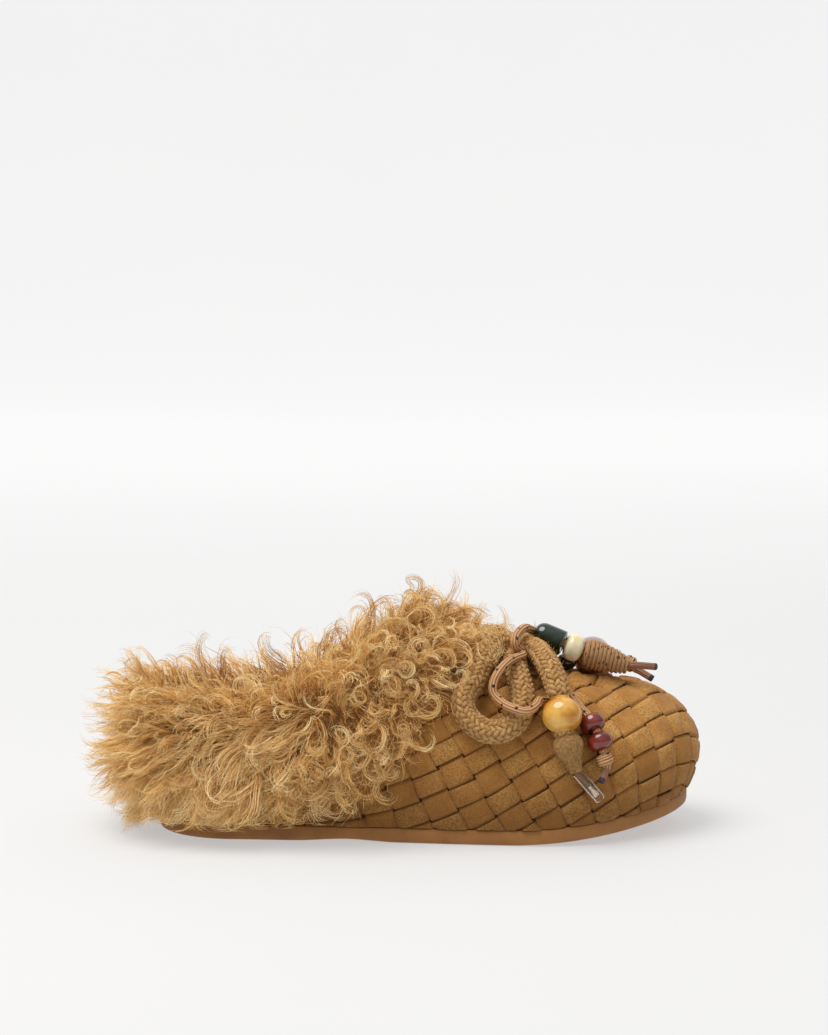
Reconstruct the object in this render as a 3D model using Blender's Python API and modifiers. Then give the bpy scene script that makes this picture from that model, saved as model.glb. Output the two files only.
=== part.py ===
"""A woven suede slipper with a shaggy fur quarter and a beaded rope bow, the right one of a pair.

Frame: +X to the toe, +Y to the inner (medial) side, +Z up, origin on the floor under the forefoot.
"""

import math
import random
from collections import namedtuple

import bmesh
import bpy
from mathutils import Matrix, Vector
from mathutils.bvhtree import BVHTree

MM = 0.001
UP = Vector((0, 0, 1))
LATERAL, MEDIAL = -1, 1

# Driving sizes of the last and the sole
SOLE_LENGTH = 256 * MM
SOLE_THICKNESS = 7.6 * MM
HEEL_ROUND = 34 * MM
TOE_ROUND = 70 * MM
TOE_DRIFT = 6 * MM
DRIFT_POWER = 1.5
TOE_SQUARENESS = 2.3
TOE_SPRING = 11 * MM
SPRING_START = 42 * MM
SPRING_POWER = 1.5
ARCH_RISE = 1.2 * MM
ARCH_FROM, ARCH_TO = -62 * MM, -12 * MM
EDGE_CHAMFER = 1.6 * MM
EDGE_UNDERCUT = 4 * MM
SOLE_STATIONS = 36
END_CUT = 0.012

# Driving sizes of the upper
GAP = 0.3 * MM
FEATHER_INSET = 1.0 * MM
WALL = 2.0 * MM
CREST_SHARE = 0.72
BULGE_HEEL, BULGE_SIDE, BULGE_TOE = 2.5 * MM, 3.0 * MM, 7.0 * MM
HEEL_FROM, TOE_FROM = -60 * MM, 40 * MM
CREST_DRIFT = 3.6 * MM
THROAT = 0 * MM
NORMAL_STEP = 0.01
NORMAL_END, NORMAL_TOP = 0.004, 0.985
SHARP_ANGLE = math.radians(40)

# Strips of the weave
STRIP_ALONG, STRIP_CROSS = 11.2 * MM, 12.2 * MM
STRIP_ANGLE = math.radians(58)
STRIP_RISE = 1.0 * MM
PAD_AHEAD = 8 * MM
STRIP_MARGIN = 1.3 * MM
STRIP_CREST = 0.6
SMALLEST_PAD = 0.35
SHORTEST_EDGE = 0.9 * MM
PATTERN_STATIONS = 72
PATTERN_ROWS = 24
OUTLINE_STEP = 2
COLLAR_STEP = 2
SEAM_STEP = 4
HEEL_MERGE = 0.05 * MM

# Fur: a skin over the quarters with a lock on every cell
FUR_COLUMNS, FUR_ROWS = 10, 6
FUR_CLEAR, FUR_CLEAR_THROAT = 1.7 * MM, 5 * MM
FUR_DEPTH, FUR_DEPTH_EDGE = 8 * MM, 3.5 * MM
FUR_FRONT_SLOPE = 2.5
FUR_LOW_SHARE, FUR_LOW_SLOPE = 0.2, 2
FUR_RIM_RISE = 6 * MM
FUR_THROAT_REACH = 30 * MM
FUR_LOW_GIRTH = 0.04
LOCK_LENGTH_LOW, LOCK_LENGTH_TOP = 13 * MM, 38 * MM
LOCK_LOWEST, LOCK_TIP = 3 * MM, 4 * MM
LOCK_SWEEP_LOW, LOCK_SWEEP_TOP = -0.7, 1.0
LOCK_LEAN_BACK = 0.9
LOCK_FRONT_CUT, LOCK_FRONT_FROM = 0.45, 0.6
LOCK_STRAY, LOCK_DROOP = 0.3, 0.25
LOCK_SPREAD = (0.75, 1.1)
LOCK_SEED = 7

# Insole
INSOLE_INSET = 4.4 * MM
INSOLE_THICKNESS = 4 * MM
INSOLE_ROUND = 1.2 * MM

# Rope bow
ROPE_DIAMETER = 12 * MM
ROPE_PINCH = 0.6
CORD_DIAMETER = 4.2 * MM
TAIL_DIAMETER = 3.4 * MM
KNOT_X, KNOT_GIRTH, KNOT_LIFT = 41 * MM, 0.99, 9.5 * MM
KNOT_REACH = 10.8 * MM
AMBER_ROW, RED_ROW, TUBE_ROW, DARK_ROW = 3, 4, 2, 1
KNOT_WIDTH, KNOT_HEIGHT = 20 * MM, 15 * MM
TUBE_STEP = 0.75
TUBE_ROUNDNESS = 2
CURVE_FINENESS = 20
CORD_STEP = 7 * MM
STRAND_STEP = 0.5 * MM
TURN_STEPS, BEAD_ROWS = 10, 6
TURN_MERGE = 0.01 * MM
PIECE_GAP = 1.0 * MM

# Half widths of the sole at a share of its length from the heel
Width = namedtuple("Width", "share lateral medial")
WIDTHS = (
    Width(0.00, 32 * MM, 31 * MM),
    Width(0.20, 35 * MM, 32 * MM),
    Width(0.42, 40 * MM, 33 * MM),
    Width(0.62, 46 * MM, 41 * MM),
    Width(0.76, 48 * MM, 46 * MM),
    Width(1.00, 45 * MM, 46 * MM),
)

# Height of the last's top line, which the collar cuts open behind the throat
Crest = namedtuple("Crest", "x height")
CREST = (
    Crest(-92 * MM, 92 * MM),
    Crest(-60 * MM, 100 * MM),
    Crest(-28 * MM, 98 * MM),
    Crest(0 * MM, 92 * MM),
    Crest(25 * MM, 83 * MM),
    Crest(47 * MM, 76 * MM),
    Crest(70 * MM, 72 * MM),
    Crest(92 * MM, 69.5 * MM),
)

# Height of the collar's edge, by the place on the feather line below it
Rim = namedtuple("Rim", "x height")
RIM = (
    Rim(-128 * MM, 57 * MM),
    Rim(-84 * MM, 57 * MM),
    Rim(-45 * MM, 69 * MM),
    Rim(-20 * MM, 83 * MM),
    Rim(0 * MM, 92 * MM),
)

# Squareness of the sections: 2 is an ellipse
Fullness = namedtuple("Fullness", "x power")
FULLNESS = (
    Fullness(-128 * MM, 2.4),
    Fullness(0 * MM, 2.3),
    Fullness(70 * MM, 2.4),
    Fullness(128 * MM, 2.8),
)

# Routes on the upper: the place along it, the girth share, and the lift of the middle off its face
Route = namedtuple("Route", "x girth lift")
ROPE_LOOP = (
    Route(31 * MM, 0.88, 10.5 * MM),
    Route(26 * MM, 0.73, 9.2 * MM),
    Route(22 * MM, 0.58, 8.3 * MM),
    Route(18.6 * MM, 0.5, 8 * MM),
    Route(18.6 * MM, 0.44, 8 * MM),
    Route(21.9 * MM, 0.395, 8 * MM),
    Route(28 * MM, 0.365, 8 * MM),
    Route(35.3 * MM, 0.37, 8 * MM),
    Route(41.6 * MM, 0.41, 8 * MM),
    Route(45.4 * MM, 0.475, 8 * MM),
    Route(46 * MM, 0.55, 8 * MM),
    Route(44 * MM, 0.64, 8.3 * MM),
    Route(41.5 * MM, 0.75, 8.3 * MM),
)
ROPE_END = (
    Route(51 * MM, 0.86, 13.5 * MM),
    Route(57 * MM, 0.68, 15.5 * MM),
    Route(61 * MM, 0.56, 14.8 * MM),
    Route(63.5 * MM, 0.455, 12.4 * MM),
    Route(65.5 * MM, 0.325, 9.2 * MM),
    Route(69 * MM, 0.24, 5.8 * MM),
    Route(74 * MM, 0.175, 4.6 * MM),
    Route(80 * MM, 0.105, 4.6 * MM),
)
CORD_LOOP = (
    Route(40.5 * MM, 0.85, 18.2 * MM),
    Route(39.3 * MM, 0.74, 17.8 * MM),
    Route(35.8 * MM, 0.65, 17.6 * MM),
    Route(32.4 * MM, 0.59, 17.3 * MM),
    Route(31 * MM, 0.545, 15.8 * MM),
    Route(32 * MM, 0.51, 14 * MM),
    Route(36.2 * MM, 0.475, 14.6 * MM),
    Route(41.3 * MM, 0.447, 17.8 * MM),
    Route(47.3 * MM, 0.44, 18.2 * MM),
    Route(51.4 * MM, 0.475, 15.4 * MM),
    Route(52.8 * MM, 0.515, 12.8 * MM),
    Route(55.5 * MM, 0.545, 8.5 * MM),
    Route(55 * MM, 0.61, 4.6 * MM),
    Route(52 * MM, 0.69, 3.9 * MM),
    Route(50.5 * MM, 0.77, 3.7 * MM),
    Route(50.5 * MM, 0.85, 3.8 * MM),
)
CORD_END = (
    Route(57.5 * MM, 0.9, 6 * MM),
    Route(63 * MM, 0.75, 4.4 * MM),
    Route(69 * MM, 0.61, 4.6 * MM),
    Route(74 * MM, 0.51, 6 * MM),
    Route(78 * MM, 0.43, 7.8 * MM),
    Route(80.5 * MM, 0.33, 7.8 * MM),
    Route(83.5 * MM, 0.262, 6.8 * MM),
    Route(83.6 * MM, 0.22, 6.4 * MM),
    Route(82 * MM, 0.185, 7.2 * MM),
    Route(79.5 * MM, 0.16, 9.2 * MM),
)
FIRST_STRING = (
    Route(42.5 * MM, 0.97, 19.5 * MM),
    Route(47.8 * MM, 0.965, 19.5 * MM),
    Route(56.5 * MM, 0.955, 18 * MM),
    Route(67.4 * MM, 0.94, 16.2 * MM),
    Route(83.5 * MM, 0.92, 12 * MM),
    Route(95 * MM, 0.88, 9.6 * MM),
    Route(99 * MM, 0.83, 11 * MM),
    Route(108.5 * MM, 0.76, 11.4 * MM),
)
SECOND_STRING = (
    Route(60.1 * MM, 0.985, 6.2 * MM),
    Route(68.5 * MM, 0.97, 6.2 * MM),
    Route(82.5 * MM, 0.865, 12.4 * MM),
    Route(93.5 * MM, 0.815, 11.4 * MM),
    Route(101 * MM, 0.79, 7 * MM),
    Route(110 * MM, 0.72, 3.8 * MM),
)

# Front edge of the fur, by the girth share
FurEdge = namedtuple("FurEdge", "girth x")
FUR_EDGE = (
    FurEdge(0.0, -58 * MM),
    FurEdge(0.2, -22 * MM),
    FurEdge(0.36, 0 * MM),
    FurEdge(0.56, 8 * MM),
    FurEdge(0.8, 23 * MM),
    FurEdge(1.0, 29 * MM),
)

# A lock of fur: the share of its length, and its width there
Taper = namedtuple("Taper", "reach width")
LOCK_TAPER = (
    Taper(0.34, 0.84),
    Taper(0.7, 0.56),
    Taper(1.0, 0.14),
)

# Turned profiles: the radius, and the share of the piece's length from the knot's side
Turn = namedtuple("Turn", "radius share")
BALL = (
    Turn(2.4 * MM, 0.0),
    Turn(5.8 * MM, 0.14),
    Turn(7.1 * MM, 0.35),
    Turn(6.0 * MM, 0.53),
    Turn(4.3 * MM, 0.72),
    Turn(2.8 * MM, 1.0),
)
AGLET = (
    Turn(2.0 * MM, 0.0),
    Turn(2.9 * MM, 0.1),
    Turn(2.9 * MM, 0.94),
    Turn(2.5 * MM, 1.0),
)
TUBE_BEAD = (
    Turn(4.6 * MM, 0.0),
    Turn(6.0 * MM, 0.12),
    Turn(6.0 * MM, 0.95),
    Turn(5.4 * MM, 1.0),
)
CONE = (
    Turn(5.4 * MM, 0.0),
    Turn(6.9 * MM, 0.12),
    Turn(7.1 * MM, 0.35),
    Turn(6.4 * MM, 0.6),
    Turn(5.1 * MM, 0.85),
    Turn(4.2 * MM, 1.0),
)


def bead_profile(radius, squareness):
    """A round bead's outer side: 1 is a ball, more is a fuller drum."""
    turns = []
    for i in range(1, BEAD_ROWS):
        height = -math.cos(math.pi * i / BEAD_ROWS)
        turns.append(Turn(radius * (1 - abs(height) ** (2 * squareness)) ** 0.5, (1 + height) / 2))
    return turns


# Pieces on each end of the bow, from the knot outward: one with no profile is a bare cord
Piece = namedtuple("Piece", "name length profile bore finish")
ROPE_PIECES = (
    Piece("amber_bead", 17.5 * MM, bead_profile(9.5 * MM, 1.1), 2.5 * MM, "amber"),
    Piece("rope_ball", 19 * MM, BALL, 0, "felt"),
    Piece("aglet", 17 * MM, AGLET, 1.5 * MM, "clear"),
)
CORD_PIECES = (
    Piece("red_bead_upper", 9.2 * MM, bead_profile(6.1 * MM, 1.3), 1.4 * MM, "red"),
    Piece("red_bead_lower", 9.2 * MM, bead_profile(6.1 * MM, 1.3), 1.4 * MM, "red"),
    Piece("cord_stop", 8 * MM, bead_profile(4.2 * MM, 1), 0, "cord"),
    Piece("cord_tail", 7 * MM, None, 0, "tail"),
)
FIRST_PIECES = (
    Piece("green_tube_bead", 14.5 * MM, TUBE_BEAD, 1.6 * MM, "green"),
    Piece("cream_bead", 9 * MM, bead_profile(6.8 * MM, 1.3), 1.6 * MM, "cream"),
    Piece("wrapped_cone", 23 * MM, CONE, 0, "cord"),
    Piece("first_tail", 16 * MM, None, 0, "tail"),
)
SECOND_PIECES = (
    Piece("dark_bead", 9 * MM, bead_profile(4.2 * MM, 1.6), 1.2 * MM, "dark"),
    Piece("rose_bead", 18 * MM, bead_profile(9.4 * MM, 1.1), 1.6 * MM, "rose"),
    Piece("pale_bead", 6 * MM, bead_profile(3.3 * MM, 1.2), 1.2 * MM, "pale"),
    Piece("second_stop", 8 * MM, bead_profile(4.2 * MM, 1), 0, "cord"),
    Piece("second_tail", 12 * MM, None, 0, "tail"),
)


def read(rows, column, at):
    """A table's column at a place, on a smooth curve through its rows. The first column is the place."""
    places = [row[0] for row in rows]
    values = [getattr(row, column) for row in rows]
    if at <= places[0]:
        return values[0]
    if at >= places[-1]:
        return values[-1]
    i = max(k for k in range(len(places) - 1) if places[k] <= at)

    def slope(k):
        low, high = max(k - 1, 0), min(k + 1, len(places) - 1)
        return (values[high] - values[low]) / (places[high] - places[low])

    step = places[i + 1] - places[i]
    u = (at - places[i]) / step
    rise = values[i + 1] - values[i]
    bend_in = slope(i) * step - rise
    bend_out = rise - slope(i + 1) * step
    return values[i] + rise * u + u * (1 - u) * (bend_in * (1 - u) + bend_out * u)


def ease(low, high, at):
    """0 below low, 1 above high, and smooth between."""
    u = min(1, max(0, (at - low) / (high - low)))
    return u * u * (3 - 2 * u)


# The last

def spring(x):
    """How far the toe lifts the sole off the floor."""
    run = max(0, x - SPRING_START) / (SOLE_LENGTH / 2 - SPRING_START)
    return TOE_SPRING * run**SPRING_POWER


def sole_top(x):
    return SOLE_THICKNESS + spring(x)


def outline(side, share, inset=0.0):
    """A point of the sole's outline on one side, at a share of the way from heel to toe."""
    half = SOLE_LENGTH / 2 - inset
    x = -half * math.cos(math.pi * share)
    along = (x + SOLE_LENGTH / 2) / SOLE_LENGTH
    width = read(WIDTHS, "lateral" if side == LATERAL else "medial", along) - inset
    heel = max(0, (-half + HEEL_ROUND - x) / HEEL_ROUND)
    toe = max(0, (x - half + TOE_ROUND) / TOE_ROUND)
    width *= math.sqrt(max(0, 1 - heel**2)) * math.sqrt(max(0, 1 - toe**TOE_SQUARENESS))
    return Vector((x, side * width + TOE_DRIFT * toe**DRIFT_POWER, 0))


def outward(side, share):
    """The direction, level with the floor, that leaves the outline."""
    if share < END_CUT:
        return Vector((-1, 0, 0))
    if share > 1 - END_CUT:
        return Vector((1, 0, 0))
    step = END_CUT / 2
    run = outline(side, share + step, FEATHER_INSET) - outline(side, share - step, FEATHER_INSET)
    return Vector((-side * run.y, side * run.x, 0)).normalized()


def upper_point(side, share, girth):
    """The upper's outer face: girth is 0 at the feather line and 1 at the top line."""
    foot = outline(side, share, FEATHER_INSET)
    base = sole_top(foot.x) + GAP
    crest_x = CREST_SHARE * foot.x
    crest = read(CREST, "height", crest_x)
    power = read(FULLNESS, "power", foot.x)
    angle = girth * math.pi / 2
    inward = 1 - math.cos(angle) ** (2 / power)
    lift = math.sin(angle) ** (2 / power)
    toe = ease(TOE_FROM, SOLE_LENGTH / 2, foot.x)
    heel = ease(HEEL_FROM, -SOLE_LENGTH / 2, foot.x)
    bulge = BULGE_SIDE + toe * (BULGE_TOE - BULGE_SIDE) + heel * (BULGE_HEEL - BULGE_SIDE)
    point = foot.lerp(Vector((crest_x, CREST_DRIFT * toe, 0)), inward)
    point += outward(side, share) * bulge * math.sin(math.pi * min(1, lift)) * (1 - inward)
    point.z = base + (crest - base) * lift
    return point


def rim_girth(share):
    """The girth at which the collar cuts the last, 1 where the top line is closed."""
    foot = outline(LATERAL, share, FEATHER_INSET)
    if foot.x >= THROAT:
        return 1.0
    base = sole_top(foot.x) + GAP
    crest = read(CREST, "height", CREST_SHARE * foot.x)
    lift = min(1, (read(RIM, "height", foot.x) - base) / (crest - base))
    return math.asin(lift ** (read(FULLNESS, "power", foot.x) / 2)) / (math.pi / 2)


def normal_at(side, share, girth):
    """The upper's outward normal."""
    low_share, high_share = max(share - NORMAL_STEP, NORMAL_END), min(share + NORMAL_STEP, 1 - NORMAL_END)
    low_girth, high_girth = max(girth - NORMAL_STEP, 0), min(girth + NORMAL_STEP, NORMAL_TOP)
    if low_girth >= high_girth:
        low_girth = high_girth - NORMAL_STEP
    along = upper_point(side, high_share, girth) - upper_point(side, low_share, girth)
    up = upper_point(side, share, high_girth) - upper_point(side, share, low_girth)
    return (side * up.cross(along)).normalized()


# Scene, materials and objects

def clear_scene():
    for old in list(bpy.data.objects):
        bpy.data.objects.remove(old, do_unlink=True)


def make_material(name, colour, roughness, metallic=0.0):
    material = bpy.data.materials.new(name)
    material.use_nodes = True
    shader = material.node_tree.nodes["Principled BSDF"]
    shader.inputs["Base Color"].default_value = (*colour, 1)
    shader.inputs["Roughness"].default_value = roughness
    shader.inputs["Metallic"].default_value = metallic
    return material


def add_object(name, data, collection, material, smooth=True):
    obj = bpy.data.objects.new(name, data)
    collection.objects.link(obj)
    data.materials.append(material)
    if smooth and isinstance(data, bpy.types.Mesh):
        data.shade_smooth()
        data.set_sharp_from_angle(angle=SHARP_ANGLE)
    return obj


def mesh_from(bm, name):
    """Turn a finished bmesh into a mesh with its faces pointing out."""
    bmesh.ops.recalc_face_normals(bm, faces=bm.faces)
    mesh = bpy.data.meshes.new(name)
    bm.to_mesh(mesh)
    bm.free()
    return mesh


def loft(rings):
    """A closed solid through rings of equal length, capped at both ends."""
    bm = bmesh.new()
    rows = [[bm.verts.new(point) for point in ring] for ring in rings]
    for near, far in zip(rows, rows[1:]):
        for i in range(len(near)):
            k = (i + 1) % len(near)
            bm.faces.new((near[i], near[k], far[k], far[i]))
    for row in (rows[0], rows[-1]):
        for i in range(len(row) // 2 - 1):
            bm.faces.new((row[i], row[i + 1], row[-2 - i], row[-1 - i]))
    return bm


def sole_shares():
    span = 1 - 2 * END_CUT
    return [END_CUT + span * i / SOLE_STATIONS for i in range(SOLE_STATIONS + 1)]


# Sole and insole

def arch(x):
    """The rise of the sole's bottom under the waist."""
    middle = (ARCH_FROM + ARCH_TO) / 2
    return ARCH_RISE * ease(ARCH_FROM, middle, x) * (1 - ease(middle, ARCH_TO, x))


def outsole_ring(share):
    ring = []
    for side in (LATERAL, MEDIAL):
        edge = outline(side, share)
        tread = outline(side, share, EDGE_UNDERCUT)
        floor = spring(edge.x)
        stack = [
            Vector((edge.x, edge.y, sole_top(edge.x))),
            Vector((edge.x, edge.y, floor + EDGE_CHAMFER + arch(edge.x))),
            Vector((tread.x, tread.y, spring(tread.x) + arch(tread.x))),
        ]
        ring += stack if side == LATERAL else reversed(stack)
    return ring


def build_outsole(collection, material):
    mesh = mesh_from(loft([outsole_ring(share) for share in sole_shares()]), "outsole")
    return add_object("outsole", mesh, collection, material)


def insole_ring(share):
    ring = []
    for side in (LATERAL, MEDIAL):
        edge = outline(side, share, INSOLE_INSET)
        inner = outline(side, share, INSOLE_INSET + INSOLE_ROUND)
        base = sole_top(edge.x) + GAP
        stack = [
            Vector((inner.x, inner.y, base + INSOLE_THICKNESS)),
            Vector((edge.x, edge.y, base + INSOLE_THICKNESS - INSOLE_ROUND)),
            Vector((edge.x, edge.y, base)),
        ]
        ring += stack if side == LATERAL else reversed(stack)
    return ring


def build_insole(collection, material):
    mesh = mesh_from(loft([insole_ring(share) for share in sole_shares()]), "insole")
    return add_object("insole", mesh, collection, material)


# Woven upper: its wall is opened flat at the heel, cut along the strips and laid back on the last

def last_grid():
    """The upper's face as a fine grid, opened along the back of the heel and joined along the top line."""
    bm = bmesh.new()
    place = bm.verts.layers.float_vector.new("place")
    columns = [(LATERAL, i / PATTERN_STATIONS) for i in range(PATTERN_STATIONS + 1)]
    columns += [(MEDIAL, 1 - i / PATTERN_STATIONS) for i in range(1, PATTERN_STATIONS + 1)]
    grid = []
    for side, share in columns:
        top = rim_girth(share)
        column = []
        for k in range(PATTERN_ROWS + 1):
            girth = top * k / PATTERN_ROWS
            vert = bm.verts.new(upper_point(side, share, girth))
            vert[place] = (side, share, girth)
            column.append(vert)
        grid.append(column)
    for left, right in zip(grid, grid[1:]):
        for k in range(PATTERN_ROWS):
            bm.faces.new((left[k], right[k], right[k + 1], left[k + 1]))
    pairs = {}
    for k in range(PATTERN_STATIONS):
        if rim_girth(k / PATTERN_STATIONS) == 1.0:
            pairs[grid[2 * PATTERN_STATIONS - k][-1]] = grid[k][-1]
    bmesh.ops.weld_verts(bm, targetmap=pairs)
    return bm


def flat_pattern():
    """Flatten the grid with least stretch: the mesh, and where each of its vertices lies in the plane."""
    bm = last_grid()
    mesh = bpy.data.meshes.new("pattern")
    bm.to_mesh(mesh)
    bm.free()
    guide = bpy.data.objects.new("pattern", mesh)
    bpy.context.scene.collection.objects.link(guide)
    mesh.uv_layers.new(name="flat")
    bpy.context.view_layer.objects.active = guide
    guide.select_set(True)
    bpy.ops.object.mode_set(mode="EDIT")
    bpy.ops.mesh.select_all(action="SELECT")
    bpy.ops.uv.unwrap(method="MINIMUM_STRETCH", margin=0)
    bpy.ops.object.mode_set(mode="OBJECT")
    flat = [Vector((0, 0, 0)) for _ in mesh.vertices]
    for loop, uv in zip(mesh.loops, mesh.uv_layers["flat"].data):
        flat[loop.vertex_index] = Vector((uv.uv.x, uv.uv.y, 0))
    bpy.data.objects.remove(guide)
    return mesh, align_pattern(mesh, flat)


def align_pattern(mesh, flat):
    """Bring the pattern to real size, with the toe to +X and its top line on the X axis."""
    solid = [vert.co for vert in mesh.vertices]
    shrink = sum((solid[a] - solid[b]).length for a, b in (edge.vertices for edge in mesh.edges))
    shrink /= sum((flat[a] - flat[b]).length for a, b in (edge.vertices for edge in mesh.edges))
    place = mesh.attributes["place"].data
    top_line = [i for i in range(len(solid)) if place[i].vector[2] == 1.0]
    top_line.sort(key=lambda i: solid[i].x)
    origin = flat[top_line[0]]
    run = flat[top_line[-1]] - origin
    turn = Matrix.Rotation(-math.atan2(run.y, run.x), 4, "Z") @ Matrix.Translation(-origin)
    aligned = [(turn @ point) * shrink for point in flat]
    outer = aligned[0].y
    if outer > 0:
        aligned = [Vector((point.x, -point.y, 0)) for point in aligned]
    return aligned


class Last:
    """Carries points of the flat pattern back to the last."""

    def __init__(self, mesh, flat):
        mesh.calc_loop_triangles()
        self.mesh = mesh
        self.flat = flat
        self.triangles = [tuple(triangle.vertices) for triangle in mesh.loop_triangles]
        self.tree = BVHTree.FromPolygons(flat, self.triangles)

    def place(self, point):
        """The outer face's point, normal and girth above a point of the pattern."""
        found, _, index, _ = self.tree.find_nearest(Vector((point.x, point.y, 0)))
        corners = self.triangles[index]
        a, b, c = (self.flat[i] for i in corners)
        whole = (b - a).cross(c - a).z
        weights = [(b - found).cross(c - found).z / whole, (c - found).cross(a - found).z / whole]
        weights.append(1 - sum(weights))
        spot = sum((self.mesh.vertices[i].co * w for i, w in zip(corners, weights)), Vector())
        normal = sum((self.mesh.vertices[i].normal * w for i, w in zip(corners, weights)), Vector())
        girths = [self.mesh.attributes["place"].data[i].vector[2] for i in corners]
        return spot, normal.normalized(), sum(girth * w for girth, w in zip(girths, weights))


def pattern_outline(flat):
    """The pattern's edge (feather line, heel, collar and heel again) and the heel's four corners."""
    rows, stations = PATTERN_ROWS + 1, 2 * PATTERN_STATIONS
    throat = next(k for k in range(stations) if rim_girth(k / PATTERN_STATIONS) == 1.0)
    index = {}
    count = 0
    for column in range(stations + 1):
        for row in range(rows):
            welded = row == rows - 1 and throat <= stations - column < PATTERN_STATIONS
            if not welded:
                index[column, row] = count
                count += 1
    edge = [(column, 0) for column in range(0, stations, OUTLINE_STEP)]
    edge += [(stations, row) for row in range(0, rows - 1, SEAM_STEP)]
    edge += [(column, rows - 1) for column in range(stations, stations - throat, -COLLAR_STEP)]
    edge += [(column, rows - 1) for column in range(throat, 0, -COLLAR_STEP)]
    edge += [(0, row) for row in range(rows - 1, 0, -SEAM_STEP)]
    corners = ((0, 0), (stations, 0), (stations, rows - 1), (0, rows - 1))
    return [flat[index[place]] for place in edge], [flat[index[place]] for place in corners]


def cut_strips(bm, corners):
    """Cut the flat pattern along the edges of both sets of strips, and keep its corners where they are."""
    for turn, pitch in ((STRIP_ANGLE, STRIP_ALONG), (STRIP_ANGLE + math.pi / 2, STRIP_CROSS)):
        across = Vector((-math.sin(turn), math.cos(turn), 0))
        reach = [vert.co.dot(across) for vert in bm.verts]
        for k in range(math.ceil(min(reach) / pitch), math.floor(max(reach) / pitch) + 1):
            pieces = bm.verts[:] + bm.edges[:] + bm.faces[:]
            bmesh.ops.bisect_plane(bm, geom=pieces, plane_co=across * pitch * k, plane_no=across)
    bmesh.ops.remove_doubles(bm, verts=bm.verts, dist=SHORTEST_EDGE)
    for corner in corners:
        nearest = min(bm.verts, key=lambda vert: (vert.co - corner).length)
        nearest.co = corner


def at_heel(spot):
    return abs(spot.y) < SHORTEST_EDGE / 2 and spot.x < -SOLE_LENGTH / 3


def match_heel(bm, last):
    """Give both edges of the heel's opening the same heights, so that they close."""
    heights = {vert: last.place(vert.co)[0] for vert in bm.verts if vert.is_boundary}
    heights = {vert: spot.z for vert, spot in heights.items() if at_heel(spot)}
    wanted = sorted(heights.values())
    for edge in [e for e in bm.edges if e.is_boundary and all(v in heights for v in e.verts)]:
        low, high = sorted(edge.verts, key=heights.get)
        bottom, top = heights[low], heights[high]
        for height in wanted:
            if bottom + SHORTEST_EDGE / 2 < height < top - SHORTEST_EDGE / 2:
                share = (height - heights[low]) / (top - heights[low])
                edge, vert = bmesh.utils.edge_split(edge, low, share)
                edge = next(e for e in vert.link_edges if high in e.verts)
                heights[vert] = height
                low = vert


def raise_strips(bm, faces, depth, last):
    """Raise a pad on each crossing, longer along the strip that lies on top there."""
    along = Vector((math.cos(STRIP_ANGLE), math.sin(STRIP_ANGLE), 0))
    across = Vector((-along.y, along.x, 0))
    pads = []
    for face in faces:
        middle = face.calc_center_median()
        spot, _, girth = last.place(middle)
        ahead_of_fur = spot.x > read(FUR_EDGE, "x", girth) + PAD_AHEAD
        if ahead_of_fur and face.calc_area() > SMALLEST_PAD * STRIP_ALONG * STRIP_CROSS:
            pads.append(face)
    bmesh.ops.inset_individual(bm, faces=pads, thickness=STRIP_MARGIN, use_even_offset=True)
    for face in pads:
        middle = face.calc_center_median()
        cell = math.floor(middle.dot(along) / STRIP_CROSS) + math.floor(middle.dot(across) / STRIP_ALONG)
        run = along if cell % 2 else across
        for vert in face.verts:
            vert.co -= run * (vert.co - middle).dot(run) * (1 - STRIP_CREST)
            vert[depth] = STRIP_RISE


def build_upper(collection, material, last):
    bm = bmesh.new()
    edge, corners = pattern_outline(last.flat)
    bm.faces.new([bm.verts.new(point) for point in edge])
    cut_strips(bm, corners)
    match_heel(bm, last)
    depth = bm.verts.layers.float.new("depth")
    outer = bm.faces[:]
    made = bmesh.ops.extrude_face_region(bm, geom=outer, use_keep_orig=True)["geom"]
    for vert in made:
        if isinstance(vert, bmesh.types.BMVert):
            vert[depth] = -WALL
    raise_strips(bm, outer, depth, last)
    for vert in bm.verts:
        spot, normal, _ = last.place(vert.co)
        vert.co = spot + normal * vert[depth]
        if vert[depth] <= 0 and at_heel(spot):
            vert.co.y = 0
    on_seam = {vert for vert in bm.verts if abs(vert.co.y) < HEEL_MERGE and vert.co.x < 0}
    heel_walls = [face for face in bm.faces if all(vert in on_seam for vert in face.verts)]
    bmesh.ops.delete(bm, geom=heel_walls, context="FACES")
    seam = [vert for vert in bm.verts if vert.co.y == 0 and at_heel(vert.co)]
    bmesh.ops.remove_doubles(bm, verts=seam, dist=SHORTEST_EDGE / 2)
    bmesh.ops.triangulate(bm, faces=bm.faces)
    return add_object("upper", mesh_from(bm, "upper"), collection, material, smooth=False)


# Fur cuff

def share_of(side, x, girth):
    """The share of the outline that puts a point of this girth at x."""
    low, high = 0.0, 1.0
    for _ in range(24):
        middle = (low + high) / 2
        if upper_point(side, middle, girth).x < x:
            low = middle
        else:
            high = middle
    return (low + high) / 2


def fur_cell_corner(side, column, row):
    """The place on the upper of a corner of the fur's cells: its share and girth."""
    height = row / FUR_ROWS
    front = share_of(side, read(FUR_EDGE, "x", height), height)
    share = front * column / FUR_COLUMNS
    girth = FUR_LOW_GIRTH + (rim_girth(share) - FUR_LOW_GIRTH) * height
    return share, girth


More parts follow.
